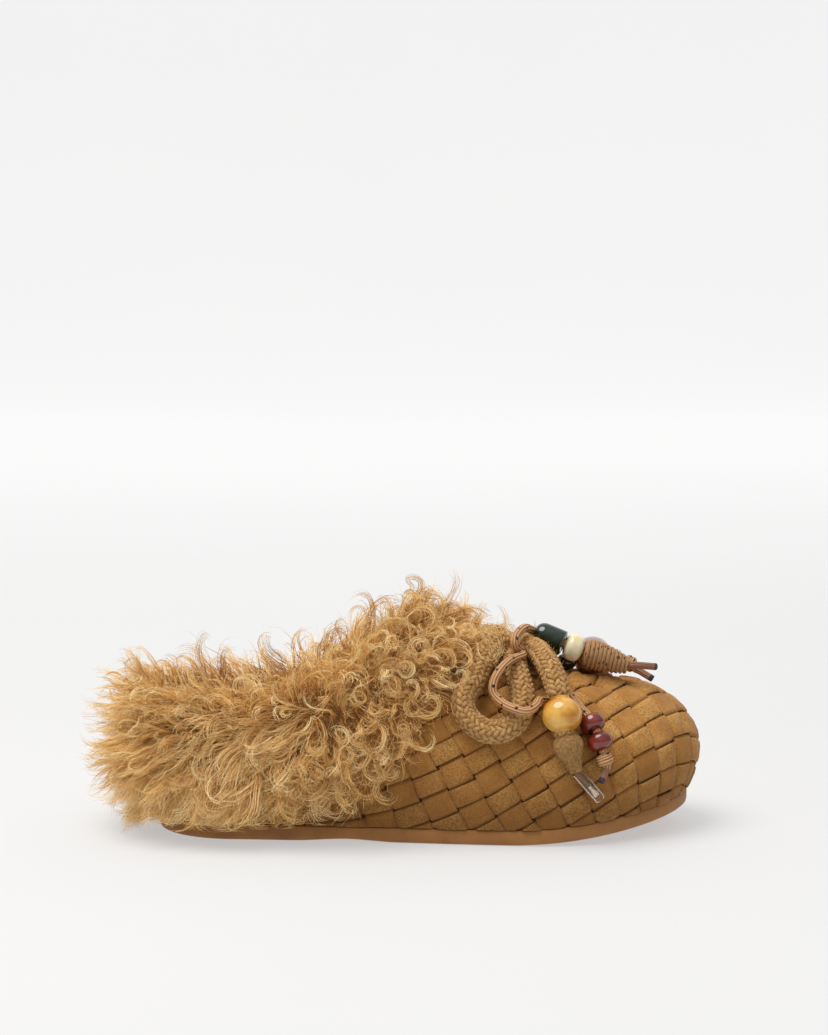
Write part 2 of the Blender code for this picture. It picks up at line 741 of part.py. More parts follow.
def fur_skin():
    """The fur's cells on the upper's face, with the corner's normal, row and column kept on each vertex."""
    bm = bmesh.new()
    out = bm.verts.layers.float_vector.new("out")
    place = bm.verts.layers.float_vector.new("cell")
    for side in (LATERAL, MEDIAL):
        grid = []
        for column in range(FUR_COLUMNS + 1):
            line = []
            for row in range(FUR_ROWS + 1):
                share, girth = fur_cell_corner(side, column, row)
                normal = normal_at(side, share, girth)
                spot = upper_point(side, share, girth)
                if column == 0:
                    normal.y = 0
                closed = row == FUR_ROWS and rim_girth(share) == 1.0
                if closed:
                    normal = Vector((normal.x, 0, normal.z))
                near_throat = 1 - ease(0, FUR_THROAT_REACH, abs(spot.x - THROAT))
                extra = near_throat * ease(0.5, 1, row / FUR_ROWS)
                clear = FUR_CLEAR + (FUR_CLEAR_THROAT - FUR_CLEAR) * extra
                vert = bm.verts.new(spot + normal.normalized() * clear)
                vert[out] = normal.normalized()
                vert[place] = (column, row, closed)
                line.append(vert)
            grid.append(line)
        for left, right in zip(grid, grid[1:]):
            for row in range(FUR_ROWS):
                bm.faces.new((left[row], right[row], right[row + 1], left[row + 1]))
    bmesh.ops.remove_doubles(bm, verts=bm.verts, dist=SHORTEST_EDGE / 2)
    bmesh.ops.recalc_face_normals(bm, faces=bm.faces)
    return bm, out, place


def thicken_fur(bm, out, place):
    """Give the skin its depth: thin along the sole and in front, standing up over the collar."""
    made = bmesh.ops.extrude_face_region(bm, geom=bm.faces[:], use_keep_orig=True)["geom"]
    for vert in [item for item in made if isinstance(item, bmesh.types.BMVert)]:
        column, row, closed = vert[place]
        front = FUR_FRONT_SLOPE * (1 - column / FUR_COLUMNS)
        edge = min(1, front, FUR_LOW_SHARE + FUR_LOW_SLOPE * row / FUR_ROWS)
        vert.co += vert[out] * (FUR_DEPTH_EDGE + (FUR_DEPTH - FUR_DEPTH_EDGE) * edge)
        if row == FUR_ROWS and not closed:
            vert.co += UP * FUR_RIM_RISE
    return [item for item in made if isinstance(item, bmesh.types.BMFace)]


def grow_lock(bm, face, height, front, dice):
    """Draw one cell of the fur out into a tapered, drooping lock."""
    middle = face.calc_center_median()
    sweep = LOCK_SWEEP_LOW + (LOCK_SWEEP_TOP - LOCK_SWEEP_LOW) * height
    leaves = face.normal + UP * sweep - Vector((LOCK_LEAN_BACK, 0, 0)) * front
    leaves += Vector([dice.uniform(-LOCK_STRAY, LOCK_STRAY) for _ in range(3)])
    leaves.normalize()
    length = LOCK_LENGTH_LOW + (LOCK_LENGTH_TOP - LOCK_LENGTH_LOW) * height * (1 - LOCK_FRONT_CUT * front)
    length *= dice.uniform(*LOCK_SPREAD)
    width = 1
    for taper in LOCK_TAPER:
        face = bmesh.ops.extrude_discrete_faces(bm, faces=[face])["faces"][0]
        target = middle + leaves * length * taper.reach - UP * LOCK_DROOP * length * taper.reach**2
        target.z = max(target.z, LOCK_LOWEST + LOCK_TIP * taper.width)
        now = face.calc_center_median()
        for vert in face.verts:
            vert.co = target + (vert.co - now) * taper.width / width
        width = taper.width


def build_fur(collection, material):
    bm, out, place = fur_skin()
    dice = random.Random(LOCK_SEED)
    outer = thicken_fur(bm, out, place)
    bmesh.ops.recalc_face_normals(bm, faces=bm.faces)
    for face in outer:
        height = sum(vert[place][1] for vert in face.verts) / 4 / FUR_ROWS
        front = ease(LOCK_FRONT_FROM, 1, sum(vert[place][0] for vert in face.verts) / 4 / FUR_COLUMNS)
        grow_lock(bm, face, height, front, dice)
    bmesh.ops.triangulate(bm, faces=bm.faces)
    return add_object("fur_cuff", mesh_from(bm, "fur_cuff"), collection, material)


# Bow: routes, cords and turned pieces

def on_upper(side, route):
    """The point of a route's row, lifted off the upper."""
    share = share_of(side, route.x, route.girth)
    return upper_point(side, share, route.girth) + normal_at(side, share, route.girth) * route.lift


def smooth_curve(points, step):
    """Points at an even step along a smooth curve through the given points."""
    fine = []
    ends = [points[0] * 2 - points[1], *points, points[-1] * 2 - points[-2]]
    for a, b, c, d in zip(ends, ends[1:], ends[2:], ends[3:]):
        for k in range(CURVE_FINENESS):
            u = k / CURVE_FINENESS
            linear = (c - a) * u
            square = (a * 2 - b * 5 + c * 4 - d) * u**2
            cube = (b * 3 - a - c * 3 + d) * u**3
            fine.append(b + (linear + square + cube) / 2)
    fine.append(points[-1])
    reach = [0.0]
    for a, b in zip(fine, fine[1:]):
        reach.append(reach[-1] + (b - a).length)
    count = max(2, round(reach[-1] / step))
    even = []
    k = 0
    for i in range(count + 1):
        wanted = reach[-1] * i / count
        while k < len(fine) - 2 and reach[k + 1] < wanted:
            k += 1
        even.append(fine[k].lerp(fine[k + 1], (wanted - reach[k]) / (reach[k + 1] - reach[k])))
    return even


def add_tube(name, points, diameter, collection, material, pinch=()):
    """A cord along points, narrowed where it enters the knot."""
    data = bpy.data.curves.new(name, "CURVE")
    data.dimensions = "3D"
    data.bevel_depth = diameter / 2
    data.bevel_resolution = TUBE_ROUNDNESS
    data.use_fill_caps = True
    spline = data.splines.new("POLY")
    spline.points.add(len(points) - 1)
    for i, point in enumerate(points):
        spline.points[i].co = (*point, 1)
        spline.points[i].radius = ROPE_PINCH if i in pinch else 1
    return add_object(name, data, collection, material)


def add_turned(name, start, end, profile, bore, collection, material):
    """A piece turned about the line from start to end, with a bore along it where it is threaded."""
    length = (end - start).length
    rows = [(turn.radius, length * turn.share) for turn in reversed(profile)]
    if bore:
        rows = [(bore, length), *rows, (bore, 0)]
    else:
        rows = [(0, length), *rows, (0, 0)]
    mesh = bpy.data.meshes.new(name)
    edges = [(i, i + 1) for i in range(len(rows) - 1)]
    if bore:
        edges.append((len(rows) - 1, 0))
    mesh.from_pydata([(radius, 0, height) for radius, height in rows], edges, [])
    obj = add_object(name, mesh, collection, material, smooth=False)
    screw = obj.modifiers.new("turn", "SCREW")
    screw.steps = screw.render_steps = TURN_STEPS
    screw.use_merge_vertices = True
    screw.merge_threshold = TURN_MERGE
    screw.use_smooth_shade = True
    turn = UP.rotation_difference(end - start).to_matrix().to_4x4()
    obj.matrix_world = Matrix.Translation(start) @ turn
    return obj


class Strand:
    """A route from the knot over the upper, measured along its length."""

    def __init__(self, side, knot, route):
        spots = [on_upper(side, row) for row in route]
        spots.insert(0, leave(knot, spots[0]))
        self.points = smooth_curve(spots, STRAND_STEP)
        length = sum((b - a).length for a, b in zip(self.points, self.points[1:]))
        self.step = length / (len(self.points) - 1)
        self.spots = spots

    def at(self, reach):
        k = min(int(reach / self.step), len(self.points) - 2)
        return self.points[k].lerp(self.points[k + 1], reach / self.step - k)

    def reach_of(self, row):
        """How far along the strand a row of its route lies."""
        spot = self.spots[row + 1]
        nearest = min(range(len(self.points)), key=lambda i: (self.points[i] - spot).length)
        return nearest * self.step

    def stretch(self, start, end, step):
        count = max(2, round((end - start) / step))
        return [self.at(start + (end - start) * i / count) for i in range(count + 1)]


def leave(knot, target):
    """Where a cord that runs to target comes out of the knot."""
    return knot + (target - knot).normalized() * KNOT_REACH


def thread(strand, row, pieces, suffix, collection, finish):
    """Thread pieces on a strand, with the middle of the first one at a row of the strand's route."""
    start = strand.reach_of(row) - pieces[0].length / 2
    for piece in pieces:
        name = piece.name + suffix
        end = start + piece.length
        if piece.profile:
            ends = strand.at(start), strand.at(end)
            add_turned(name, *ends, piece.profile, piece.bore, collection, finish[piece.finish])
        else:
            tail = strand.stretch(start, end, CORD_STEP)
            add_tube(name, tail, TAIL_DIAMETER, collection, finish[piece.finish])
        start = end + PIECE_GAP


def lead(name, strand, row, pieces, diameter, collection, material, pinch=()):
    """The cord from the knot up to the first piece threaded on it."""
    end = strand.reach_of(row) - pieces[0].length / 2 - PIECE_GAP
    points = strand.stretch(0, end, max(diameter * TUBE_STEP, CORD_STEP))
    add_tube(name, points, diameter, collection, material, pinch)


def build_knot(collection, finish):
    place = Route(KNOT_X, KNOT_GIRTH, KNOT_LIFT)
    knot = on_upper(LATERAL, place).lerp(on_upper(MEDIAL, place), 0.5)
    half = Vector((0, KNOT_WIDTH / 2, 0))
    profile = bead_profile(KNOT_HEIGHT / 2, 1)
    add_turned("rope_knot", knot - half, knot + half, profile, 0, collection, finish["rope"])
    return knot


def build_bow_side(side, knot, collection, finish):
    """One side's loops and ends, with the beads on them."""
    where = "outer" if side == LATERAL else "inner"
    for name, route, diameter in (("rope", ROPE_LOOP, ROPE_DIAMETER), ("cord", CORD_LOOP, CORD_DIAMETER)):
        spots = [on_upper(side, row) for row in route]
        spots = [leave(knot, spots[0]), *spots, leave(knot, spots[-1])]
        points = smooth_curve(spots, max(diameter * TUBE_STEP, CORD_STEP))
        pinch = (0, len(points) - 1) if name == "rope" else ()
        add_tube(f"{name}_loop_{where}", points, diameter, collection, finish[name], pinch)
    strand = Strand(side, knot, ROPE_END)
    rope_name, cord_name = f"rope_end_{where}", f"cord_end_{where}"
    lead(rope_name, strand, AMBER_ROW, ROPE_PIECES, ROPE_DIAMETER, collection, finish["rope"], (0,))
    thread(strand, AMBER_ROW, ROPE_PIECES, f"_{where}", collection, finish)
    strand = Strand(side, knot, CORD_END)
    lead(cord_name, strand, RED_ROW, CORD_PIECES, CORD_DIAMETER, collection, finish["cord"])
    thread(strand, RED_ROW, CORD_PIECES, f"_{where}", collection, finish)


def build_top_strings(knot, collection, finish):
    """The two strings of beads that lie over the toe."""
    strand = Strand(LATERAL, knot, FIRST_STRING)
    lead("first_cord", strand, TUBE_ROW, FIRST_PIECES, CORD_DIAMETER, collection, finish["cord"])
    thread(strand, TUBE_ROW, FIRST_PIECES, "", collection, finish)
    strand = Strand(MEDIAL, knot, SECOND_STRING)
    lead("second_cord", strand, DARK_ROW, SECOND_PIECES, CORD_DIAMETER, collection, finish["cord"])
    thread(strand, DARK_ROW, SECOND_PIECES, "", collection, finish)


def bow_finishes():
    return {
        "rope": make_material("rope", (0.52, 0.40, 0.24), 0.85),
        "cord": make_material("cord", (0.60, 0.42, 0.27), 0.7),
        "felt": make_material("felt", (0.47, 0.33, 0.19), 0.95),
        "tail": make_material("tail", (0.16, 0.08, 0.09), 0.8),
        "amber": make_material("amber", (0.55, 0.22, 0.03), 0.1),
        "clear": make_material("clear", (0.80, 0.76, 0.68), 0.15),
        "red": make_material("red", (0.25, 0.06, 0.03), 0.15),
        "green": make_material("green", (0.05, 0.09, 0.05), 0.1),
        "cream": make_material("cream", (0.72, 0.64, 0.50), 0.25),
        "dark": make_material("dark", (0.03, 0.06, 0.05), 0.2),
        "rose": make_material("rose", (0.42, 0.20, 0.16), 0.15),
        "pale": make_material("pale", (0.60, 0.66, 0.55), 0.1),
    }


def main():
    clear_scene()
    parts = bpy.data.collections.new("slipper")
    bpy.context.scene.collection.children.link(parts)
    rubber = make_material("rubber", (0.45, 0.25, 0.12), 0.6)
    suede = make_material("suede", (0.50, 0.31, 0.16), 0.9)
    fleece = make_material("fleece", (0.62, 0.46, 0.30), 0.95)
    fur = make_material("fur", (0.55, 0.36, 0.18), 0.9)
    last = Last(*flat_pattern())
    build_outsole(parts, rubber)
    build_insole(parts, fleece)
    build_upper(parts, suede, last)
    build_fur(parts, fur)
    finish = bow_finishes()
    knot = build_knot(parts, finish)
    for side in (LATERAL, MEDIAL):
        build_bow_side(side, knot, parts, finish)
    build_top_strings(knot, parts, finish)


main()
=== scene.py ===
"""Looks of a woven suede slipper with a curly fur cuff and a beaded rope bow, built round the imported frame.

Frame: +X to the toe, +Y to the inner (medial) side, +Z up, origin on the floor under the forefoot.
"""

import math
from collections import namedtuple

import bmesh
import bpy
import numpy as np
from mathutils import Matrix, Vector, noise
from mathutils.bvhtree import BVHTree


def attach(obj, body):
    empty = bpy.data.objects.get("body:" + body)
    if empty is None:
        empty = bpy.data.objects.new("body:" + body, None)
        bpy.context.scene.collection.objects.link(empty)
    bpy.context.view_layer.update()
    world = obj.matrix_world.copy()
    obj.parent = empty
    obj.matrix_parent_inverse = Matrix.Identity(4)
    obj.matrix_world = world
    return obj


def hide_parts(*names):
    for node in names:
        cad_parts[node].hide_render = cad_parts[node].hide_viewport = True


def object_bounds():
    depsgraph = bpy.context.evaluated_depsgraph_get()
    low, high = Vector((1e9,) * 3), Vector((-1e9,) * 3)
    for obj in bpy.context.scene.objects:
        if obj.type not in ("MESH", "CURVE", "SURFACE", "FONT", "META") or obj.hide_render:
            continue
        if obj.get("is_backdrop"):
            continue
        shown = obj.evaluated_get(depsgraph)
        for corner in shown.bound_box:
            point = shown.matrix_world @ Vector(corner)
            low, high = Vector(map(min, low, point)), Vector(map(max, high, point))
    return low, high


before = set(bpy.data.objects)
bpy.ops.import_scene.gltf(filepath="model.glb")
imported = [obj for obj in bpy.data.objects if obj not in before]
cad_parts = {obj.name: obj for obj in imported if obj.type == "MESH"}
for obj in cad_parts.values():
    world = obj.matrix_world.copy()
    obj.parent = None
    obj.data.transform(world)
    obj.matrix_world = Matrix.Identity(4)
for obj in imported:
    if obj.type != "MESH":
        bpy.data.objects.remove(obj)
CAD_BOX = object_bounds()

MM = 0.001
UP = Vector((0, 0, 1))
LATERAL, MEDIAL = -1, 1
TAU = 2 * math.pi

# The photograph's view
PHOTO_HEIGHT_PX = 1035
PIXEL = 0.485 * MM
DISTANCE = 1.4
ELEVATION = math.radians(7)
AIM_X, AIM_RISE, AIM_HEIGHT = -4.85 * MM, 149.1 * MM, 38 * MM
SENSOR = 36

# Driving sizes of the last and the sole, as in the solids
SOLE_LENGTH = 256 * MM
SOLE_THICKNESS = 7.6 * MM
HEEL_ROUND, TOE_ROUND = 34 * MM, 70 * MM
TOE_DRIFT, DRIFT_POWER, TOE_SQUARENESS = 6 * MM, 1.5, 2.3
TOE_SPRING, SPRING_START, SPRING_POWER = 11 * MM, 42 * MM, 1.5
ARCH_RISE, ARCH_FROM, ARCH_TO = 1.2 * MM, -62 * MM, -12 * MM
EDGE_UNDERCUT = 4 * MM
END_CUT = 0.012
GAP = 0.3 * MM
FEATHER_INSET = 1.0 * MM
WALL = 2.0 * MM
CREST_SHARE = 0.72
BULGE_HEEL, BULGE_SIDE, BULGE_TOE = 2.5 * MM, 3.0 * MM, 7.0 * MM
HEEL_FROM, TOE_FROM = -60 * MM, 40 * MM
CREST_DRIFT = 3.6 * MM
THROAT = 0 * MM
NORMAL_STEP = 0.01
NORMAL_END, NORMAL_TOP = 0.004, 0.985
HALVINGS = 24
INSOLE_INSET, INSOLE_THICKNESS = 4.4 * MM, 4 * MM

# Sizes of the weave
STRIP_ALONG, STRIP_CROSS = 11.2 * MM, 12.2 * MM
STRIP_ANGLE = math.radians(58)
PATTERN_STATIONS, PATTERN_ROWS = 72, 24

# Sizes of the fur cuff
FUR_COLUMNS, FUR_ROWS = 40, 16
FUR_CLEAR, FUR_CLEAR_THROAT = 1.7 * MM, 5 * MM
FUR_DEPTH, FUR_DEPTH_EDGE = 8 * MM, 3.5 * MM
FUR_FRONT_SLOPE = 2.5
FUR_LOW_SHARE, FUR_LOW_SLOPE = 0.2, 2
FUR_RIM_RISE = 6 * MM
FUR_THROAT_REACH = 30 * MM
FUR_LOW_GIRTH = 0.04
# TIP_TONE runs each hair from a darker root to a lighter tip: the lighter tips are the hair's own, the darker
# roots partly painted shade deep in the coat
HAIR_TIP, TIP_POWER, TIP_TONE = 0.25, 1.5, 0.5

# Sizes of the bow
ROPE_DIAMETER, CORD_DIAMETER, TAIL_DIAMETER = 12 * MM, 4.2 * MM, 3.4 * MM
KNOT_X, KNOT_GIRTH, KNOT_LIFT = 41 * MM, 0.99, 9.5 * MM
KNOT_REACH = 5.5 * MM
STRAND_STEP = 0.5 * MM
CURVE_FINENESS = 20
PIECE_GAP = 0.4 * MM

# Tables of the last and of the fur's front edge
Width = namedtuple("Width", "share lateral medial")
WIDTHS = (
    Width(0.00, 32 * MM, 31 * MM),
    Width(0.20, 35 * MM, 32 * MM),
    Width(0.42, 40 * MM, 33 * MM),
    Width(0.62, 46 * MM, 41 * MM),
    Width(0.76, 48 * MM, 46 * MM),
    Width(1.00, 45 * MM, 46 * MM),
)
Crest = namedtuple("Crest", "x height")
CREST = (
    Crest(-92 * MM, 92 * MM),
    Crest(-60 * MM, 100 * MM),
    Crest(-28 * MM, 98 * MM),
    Crest(0 * MM, 92 * MM),
    Crest(25 * MM, 83 * MM),
    Crest(47 * MM, 76 * MM),
    Crest(70 * MM, 72 * MM),
    Crest(92 * MM, 69.5 * MM),
)
Rim = namedtuple("Rim", "x height")
RIM = (
    Rim(-128 * MM, 57 * MM),
    Rim(-84 * MM, 57 * MM),
    Rim(-45 * MM, 69 * MM),
    Rim(-20 * MM, 83 * MM),
    Rim(0 * MM, 92 * MM),
)
Fullness = namedtuple("Fullness", "x power")
FULLNESS = (
    Fullness(-128 * MM, 2.4),
    Fullness(0 * MM, 2.3),
    Fullness(70 * MM, 2.4),
    Fullness(128 * MM, 2.8),
)
FurEdge = namedtuple("FurEdge", "girth x")
FUR_EDGE = (
    FurEdge(0.0, -58 * MM),
    FurEdge(0.2, -22 * MM),
    FurEdge(0.36, 0 * MM),
    FurEdge(0.56, 8 * MM),
    FurEdge(0.8, 23 * MM),
    FurEdge(1.0, 29 * MM),
)

Route = namedtuple("Route", "x girth lift")


def make_route(*rows):
    """A route on the upper, in millimetres: the place along it, the girth share and the lift off its face."""
    return tuple(Route(x * MM, girth, lift * MM) for x, girth, lift in rows)


# Routes of the bow
ROPE_LOOP = make_route(
    (31, 0.88, 10.5), (26, 0.73, 9.2), (22, 0.58, 8.3), (18.6, 0.5, 8),
    (18.6, 0.44, 8), (21.9, 0.395, 8), (28, 0.365, 8), (35.3, 0.37, 8),
    (41.6, 0.41, 8), (45.4, 0.475, 8), (46, 0.55, 8), (44, 0.64, 8.3),
    (41.5, 0.75, 8.3),
)
ROPE_END = make_route(
    (51, 0.86, 13.5), (57, 0.68, 15.5), (61, 0.56, 14.8), (63.5, 0.455, 12.4),
    (65.5, 0.325, 9.2), (69, 0.24, 5.8), (74, 0.175, 4.6), (80, 0.105, 4.6),
)
CORD_LOOP = make_route(
    (43.8, 0.78, 13.5), (39.6, 0.71, 15.5), (35.8, 0.65, 17.6), (32.4, 0.59, 17.3),
    (31, 0.545, 15.8), (32, 0.51, 14), (36.2, 0.475, 14.6), (41.3, 0.447, 17.8),
    (47.3, 0.44, 18.2), (51.4, 0.475, 15.4), (52.8, 0.515, 12.8), (55.5, 0.545, 8.5),
    (59.5, 0.61, 4.6), (58, 0.69, 3.9), (56, 0.77, 3.7), (53, 0.85, 3.8),
)
CORD_END = make_route(
    (57.5, 0.9, 6), (63, 0.75, 4.4), (69, 0.61, 4.6), (74, 0.51, 6),
    (78, 0.43, 7.8), (80.5, 0.33, 7.8), (83.5, 0.262, 6.8), (83.6, 0.22, 6.4),
    (82, 0.185, 7.2), (79.5, 0.16, 9.2),
)
FIRST_STRING = make_route(
    (42.7, 0.83, 13), (39, 0.79, 17), (38.4, 0.82, 20), (42.1, 0.92, 21),
    (47.6, 0.98, 20), (56.5, 0.955, 18), (67.4, 0.94, 16.2), (83.5, 0.92, 12),
    (95, 0.88, 9.6), (99, 0.83, 11), (108.5, 0.76, 11.4),
)
SECOND_STRING = make_route(
    (60.1, 0.985, 6.2), (68.5, 0.97, 6.2), (82.5, 0.865, 12.4), (93.5, 0.815, 11.4),
    (101, 0.79, 7), (110, 0.72, 3.8),
)

# The row of its route at which the first bead of an end sits
AMBER_ROW, RED_ROW, TUBE_ROW, DARK_ROW = 3, 4, 5, 1


def read(rows, column, at):
    """A table's column at a place, on a smooth curve through its rows. The first column is the place."""
    places = [row[0] for row in rows]
    values = [getattr(row, column) for row in rows]
    if at <= places[0]:
        return values[0]
    if at >= places[-1]:
        return values[-1]
    i = max(k for k in range(len(places) - 1) if places[k] <= at)

    def slope(k):
        low, high = max(k - 1, 0), min(k + 1, len(places) - 1)
        return (values[high] - values[low]) / (places[high] - places[low])

    step = places[i + 1] - places[i]
    u = (at - places[i]) / step
    rise = values[i + 1] - values[i]
    bend_in = slope(i) * step - rise
    bend_out = rise - slope(i + 1) * step
    return values[i] + rise * u + u * (1 - u) * (bend_in * (1 - u) + bend_out * u)


def ease(low, high, at):
    """0 below low, 1 above high, and smooth between."""
    u = min(1, max(0, (at - low) / (high - low)))
    return u * u * (3 - 2 * u)


# The last

def spring(x):
    """How far the toe lifts the sole off the floor."""
    run = max(0, x - SPRING_START) / (SOLE_LENGTH / 2 - SPRING_START)
    return TOE_SPRING * run**SPRING_POWER


def sole_top(x):
    return SOLE_THICKNESS + spring(x)


def outline(side, share, inset=0.0):
    """A point of the sole's outline on one side, at a share of the way from heel to toe."""
    half = SOLE_LENGTH / 2 - inset
    x = -half * math.cos(math.pi * share)
    along = (x + SOLE_LENGTH / 2) / SOLE_LENGTH
    width = read(WIDTHS, "lateral" if side == LATERAL else "medial", along) - inset
    heel = max(0, (-half + HEEL_ROUND - x) / HEEL_ROUND)
    toe = max(0, (x - half + TOE_ROUND) / TOE_ROUND)
    width *= math.sqrt(max(0, 1 - heel**2)) * math.sqrt(max(0, 1 - toe**TOE_SQUARENESS))
    return Vector((x, side * width + TOE_DRIFT * toe**DRIFT_POWER, 0))


def outward(side, share):
    """The direction, level with the floor, that leaves the outline."""
    if share < END_CUT:
        return Vector((-1, 0, 0))
    if share > 1 - END_CUT:
        return Vector((1, 0, 0))
    step = END_CUT / 2
    run = outline(side, share + step, FEATHER_INSET) - outline(side, share - step, FEATHER_INSET)
    return Vector((-side * run.y, side * run.x, 0)).normalized()


def upper_point(side, share, girth):
    """The upper's outer face: girth is 0 at the feather line and 1 at the top line."""
    foot = outline(side, share, FEATHER_INSET)
    base = sole_top(foot.x) + GAP
    crest_x = CREST_SHARE * foot.x
    crest = read(CREST, "height", crest_x)
    power = read(FULLNESS, "power", foot.x)
    angle = girth * math.pi / 2
    inward = 1 - math.cos(angle) ** (2 / power)
    lift = math.sin(angle) ** (2 / power)
    toe = ease(TOE_FROM, SOLE_LENGTH / 2, foot.x)
    heel = ease(HEEL_FROM, -SOLE_LENGTH / 2, foot.x)
    bulge = BULGE_SIDE + toe * (BULGE_TOE - BULGE_SIDE) + heel * (BULGE_HEEL - BULGE_SIDE)
    point = foot.lerp(Vector((crest_x, CREST_DRIFT * toe, 0)), inward)
    point += outward(side, share) * bulge * math.sin(math.pi * min(1, lift)) * (1 - inward)
    point.z = base + (crest - base) * lift
    return point


def rim_girth(share):
    """The girth at which the collar cuts the last, 1 where the top line is closed."""
    foot = outline(LATERAL, share, FEATHER_INSET)
    if foot.x >= THROAT:
        return 1.0
    base = sole_top(foot.x) + GAP
    crest = read(CREST, "height", CREST_SHARE * foot.x)
    lift = min(1, (read(RIM, "height", foot.x) - base) / (crest - base))
    return math.asin(lift ** (read(FULLNESS, "power", foot.x) / 2)) / (math.pi / 2)


def normal_at(side, share, girth):
    """The upper's outward normal."""
    low_share, high_share = max(share - NORMAL_STEP, NORMAL_END), min(share + NORMAL_STEP, 1 - NORMAL_END)
    low_girth, high_girth = max(girth - NORMAL_STEP, 0), min(girth + NORMAL_STEP, NORMAL_TOP)
    if low_girth >= high_girth:
        low_girth = high_girth - NORMAL_STEP
    along = upper_point(side, high_share, girth) - upper_point(side, low_share, girth)
    up = upper_point(side, share, high_girth) - upper_point(side, share, low_girth)
    return (side * up.cross(along)).normalized()


def share_of(side, x, girth):
    """The share of the outline that puts a point of this girth at x."""
    low, high = 0.0, 1.0
    for _ in range(HALVINGS):
        middle = (low + high) / 2
        if upper_point(side, middle, girth).x < x:
            low = middle
        else:
            high = middle
    return (low + high) / 2


def on_upper(side, route):
    """The point of a route's row, lifted off the upper."""
    share = share_of(side, route.x, route.girth)
    return upper_point(side, share, route.girth) + normal_at(side, share, route.girth) * route.lift


def smooth_curve(points, step):
    """Points at an even step along a smooth curve through the given points."""
    fine = []
    ends = [points[0] * 2 - points[1], *points, points[-1] * 2 - points[-2]]
    for a, b, c, d in zip(ends, ends[1:], ends[2:], ends[3:]):
        for k in range(CURVE_FINENESS):
            u = k / CURVE_FINENESS
            linear = (c - a) * u
            square = (a * 2 - b * 5 + c * 4 - d) * u**2
            cube = (b * 3 - a - c * 3 + d) * u**3
            fine.append(b + (linear + square + cube) / 2)
    fine.append(points[-1])
    reach = [0.0]
    for a, b in zip(fine, fine[1:]):
        reach.append(reach[-1] + (b - a).length)
    count = max(2, round(reach[-1] / step))
    even = []
    k = 0
    for i in range(count + 1):
        wanted = reach[-1] * i / count
        while k < len(fine) - 2 and reach[k + 1] < wanted:
            k += 1
        even.append(fine[k].lerp(fine[k + 1], (wanted - reach[k]) / (reach[k + 1] - reach[k])))
    return even


# Meshes

TINY = 1e-12

# Slanted directions that give a cord or a hair its first direction across
CORD_SKEW, HAIR_SKEW = (0.3, 0.2, 1.0), (0.31, 0.17, 0.93)


def add_object(name, data):
    obj = bpy.data.objects.new(name, data)
    bpy.context.scene.collection.objects.link(obj)
    return obj


def add_mesh(name, verts, faces, material, layers=None):
    """A mesh from arrays of points and quads; layers are values kept on the points for the materials."""
    mesh = bpy.data.meshes.new(name)
    verts = np.asarray(verts, np.float32)
    faces = np.asarray(faces, np.int32)
    corners = faces.shape[1]
    mesh.vertices.add(len(verts))
    mesh.vertices.foreach_set("co", verts.ravel())
    mesh.loops.add(faces.size)
    mesh.loops.foreach_set("vertex_index", faces.ravel())
    mesh.polygons.add(len(faces))
    mesh.polygons.foreach_set("loop_start", np.arange(0, faces.size, corners, dtype=np.int32))
    mesh.update(calc_edges=True)
    mesh.polygons.foreach_set("use_smooth", np.full(len(faces), True))
    for layer, values in (layers or {}).items():
        values = np.asarray(values, np.float32)
        kind, key = ("FLOAT", "value") if values.ndim == 1 else ("FLOAT_VECTOR", "vector")
        mesh.attributes.new(layer, kind, "POINT").data.foreach_set(key, values.ravel())
    mesh.materials.append(material)
    return add_object(name, mesh)


def settle(obj, slot, *nodes):
    """Let a piece ride on the shoe and hide the solids that it stands for; slot is not used."""
    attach(obj, "root")
    if nodes:
        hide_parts(*nodes)
    return obj


def unit(rows):
    return rows / np.maximum(np.linalg.norm(rows, axis=-1, keepdims=True), TINY)


def frames_along(line):
    """Directions along a line and two across it, which turn as little as they can."""
    tangent = unit(np.gradient(line, axis=0))
    across = [unit(np.cross(tangent[0], CORD_SKEW))]
    for step in tangent[1:]:
        across.append(unit(across[-1] - step * np.dot(across[-1], step)))
    across = np.array(across)
    return tangent, across, np.cross(tangent, across)


def length_of(line):
    return float(np.linalg.norm(np.diff(line, axis=0), axis=1).sum())


def reach_along(line):
    return np.concatenate(([0.0], np.cumsum(np.linalg.norm(np.diff(line, axis=0), axis=1))))


def ring_faces(rows, sides, closed=True):
    """Quads between rings of points, one ring after another."""
    near = np.arange(rows - 1)[:, None] * sides + np.arange(sides if closed else sides - 1)[None, :]
    step = near - near % sides + (near + 1) % sides
    return np.stack([near, step, step + sides, near + sides], axis=-1).reshape(-1, 4)


def tube_arrays(line, radii, sides):
    """Points, quads and cord coordinates of a tube: the turn about the line, and the way along it."""
    line = np.asarray(line, float)
    radii = np.broadcast_to(radii, len(line))
    _, across, over = frames_along(line)
    turn = np.arange(sides) * TAU / sides
    ring = across[:, None] * np.cos(turn)[None, :, None] + over[:, None] * np.sin(turn)[None, :, None]
    verts = (line[:, None] + ring * radii[:, None, None]).reshape(-1, 3)
    reach = np.repeat(reach_along(line), sides)
    around = np.tile(np.stack([np.cos(turn), np.sin(turn)], axis=-1), (len(line), 1))
    faces = ring_faces(len(line), sides)
    ends = [[first, first + k, first + k + 1, first + k + 2] for first in (0, (len(line) - 1) * sides)
            for k in range(1, sides - 2, 2)]
    return verts, np.concatenate([faces, np.array(ends)]), np.column_stack([around, reach])


def join_arrays(parts):
    """Several (points, faces, layer) as one."""
    offset = 0
    verts, faces, layers = [], [], []
    for points, quads, layer in parts:
        verts.append(points)
        faces.append(quads + offset)
        layers.append(layer)
        offset += len(points)
    return np.concatenate(verts), np.concatenate(faces), np.concatenate(layers)


